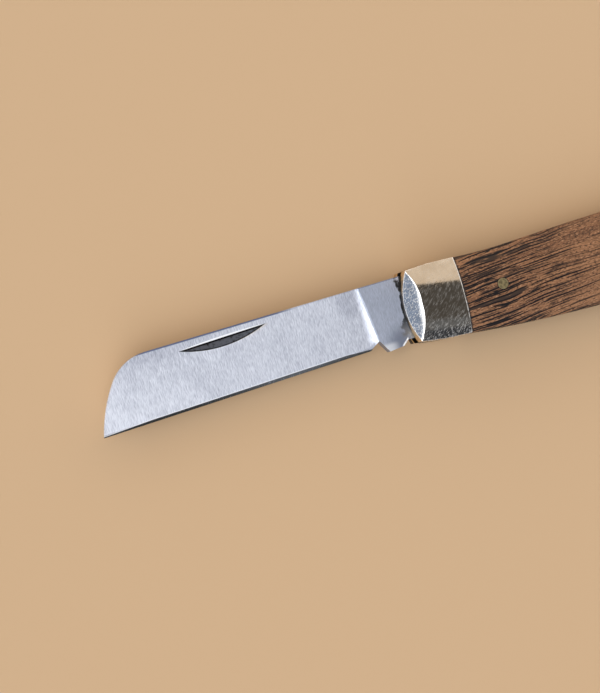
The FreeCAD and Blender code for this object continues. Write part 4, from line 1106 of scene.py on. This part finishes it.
camera.data.lens = SENSOR_WIDTH * PIXELS_PER_MM * CAMERA_DISTANCE / PICTURE_WIDTH
camera.data.clip_start = CAMERA_NEAREST
scene.camera = camera

# Room: dark overhead, a warm wall on the far side, and a wide cool window on the side of the
# blade's point. Borders are degrees from straight up, toward the back or toward the butt.
OVERHEAD = (0.082, 0.072, 0.061, 1.0)
BUTT_SIDE = (0.85, 0.88, 0.92, 1.0)
NEAR_GREY = (0.135, 0.135, 0.135, 1.0)
NEAR_DARK = (0.045, 0.048, 0.055, 1.0)
NEAR_SIDE = (0.34, 0.38, 0.44, 1.0)
WINDOW = (3.05, 3.20, 3.45, 1.0)
COOL_SIDE = (0.25, 0.32, 0.46, 1.0)
WARM_WALL = (0.80, 0.64, 0.48, 1.0)
FAR_SIDE = (1.50, 1.38, 1.22, 1.0)
BUTT_BORDER = (42, 62)
GREY_BORDER = (-18, -26)
DARK_BORDER = (-33, -37)
NEAR_BORDER = (-50, -62)
WINDOW_BORDER = (-8, -14)
WINDOW_END = (-55, -61)
WALLS_FROM = (-52, -44)
WARM_BORDER = (17.5, 19.5)
FAR_BORDER = (50, 60)
world = bpy.data.worlds.new("room")
scene.world = world
world.use_nodes = True
tree = world.node_tree
toward = add(tree, "ShaderNodeTexCoord").outputs["Generated"]
parts = add(tree, "ShaderNodeSeparateXYZ", {0: toward}).outputs
to_back = work(tree, "ARCTAN2", parts["Y"], parts["Z"])
to_butt = work(tree, "ARCTAN2", parts["X"], parts["Z"])


def past(angle, borders):
    """A smooth step between two borders in degrees."""
    return ease(tree, angle, math.radians(borders[0]), math.radians(borders[1]))


walls = past(to_butt, WALLS_FROM)
colour = mix(tree, past(to_butt, BUTT_BORDER), OVERHEAD, BUTT_SIDE)
for region, light in (
    (past(to_back, GREY_BORDER), NEAR_GREY),
    (past(to_back, DARK_BORDER), NEAR_DARK),
    (past(to_back, NEAR_BORDER), NEAR_SIDE),
    (past(to_butt, WINDOW_BORDER), WINDOW),
    (past(to_butt, WINDOW_END), COOL_SIDE),
    (both(tree, past(to_back, WARM_BORDER), walls), WARM_WALL),
    (both(tree, past(to_back, FAR_BORDER), walls), FAR_SIDE),
):
    colour = mix(tree, region, colour, light)
tree.links.new(colour, tree.nodes["Background"].inputs["Color"])

# Table: a plain pale board with a dull face. It isn't part of the knife, which lies on it with the
# flat crest of its lower cover and bolster.
TABLE = (0.590, 0.403, 0.237, 1.0)
TABLE_ROUGH = 0.9
TABLE_SHINE = 0.1
BOARD_HALF = 8.0
floor_mesh = bpy.data.meshes.new("floor")
corners = [(-1, -1, 0), (1, -1, 0), (1, 1, 0), (-1, 1, 0)]
floor_mesh.from_pydata(np.array(corners) * BOARD_HALF, [], [(0, 1, 2, 3)])
floor = bpy.data.objects.new("floor", floor_mesh)
scene.collection.objects.link(floor)
board, tree, shader = new_finish("pale_board")
shader.inputs["Base Color"].default_value = TABLE
shader.inputs["Roughness"].default_value = TABLE_ROUGH
shader.inputs["Specular IOR Level"].default_value = TABLE_SHINE
floor_mesh.materials.append(board)

scene.view_settings.view_transform = "Standard"
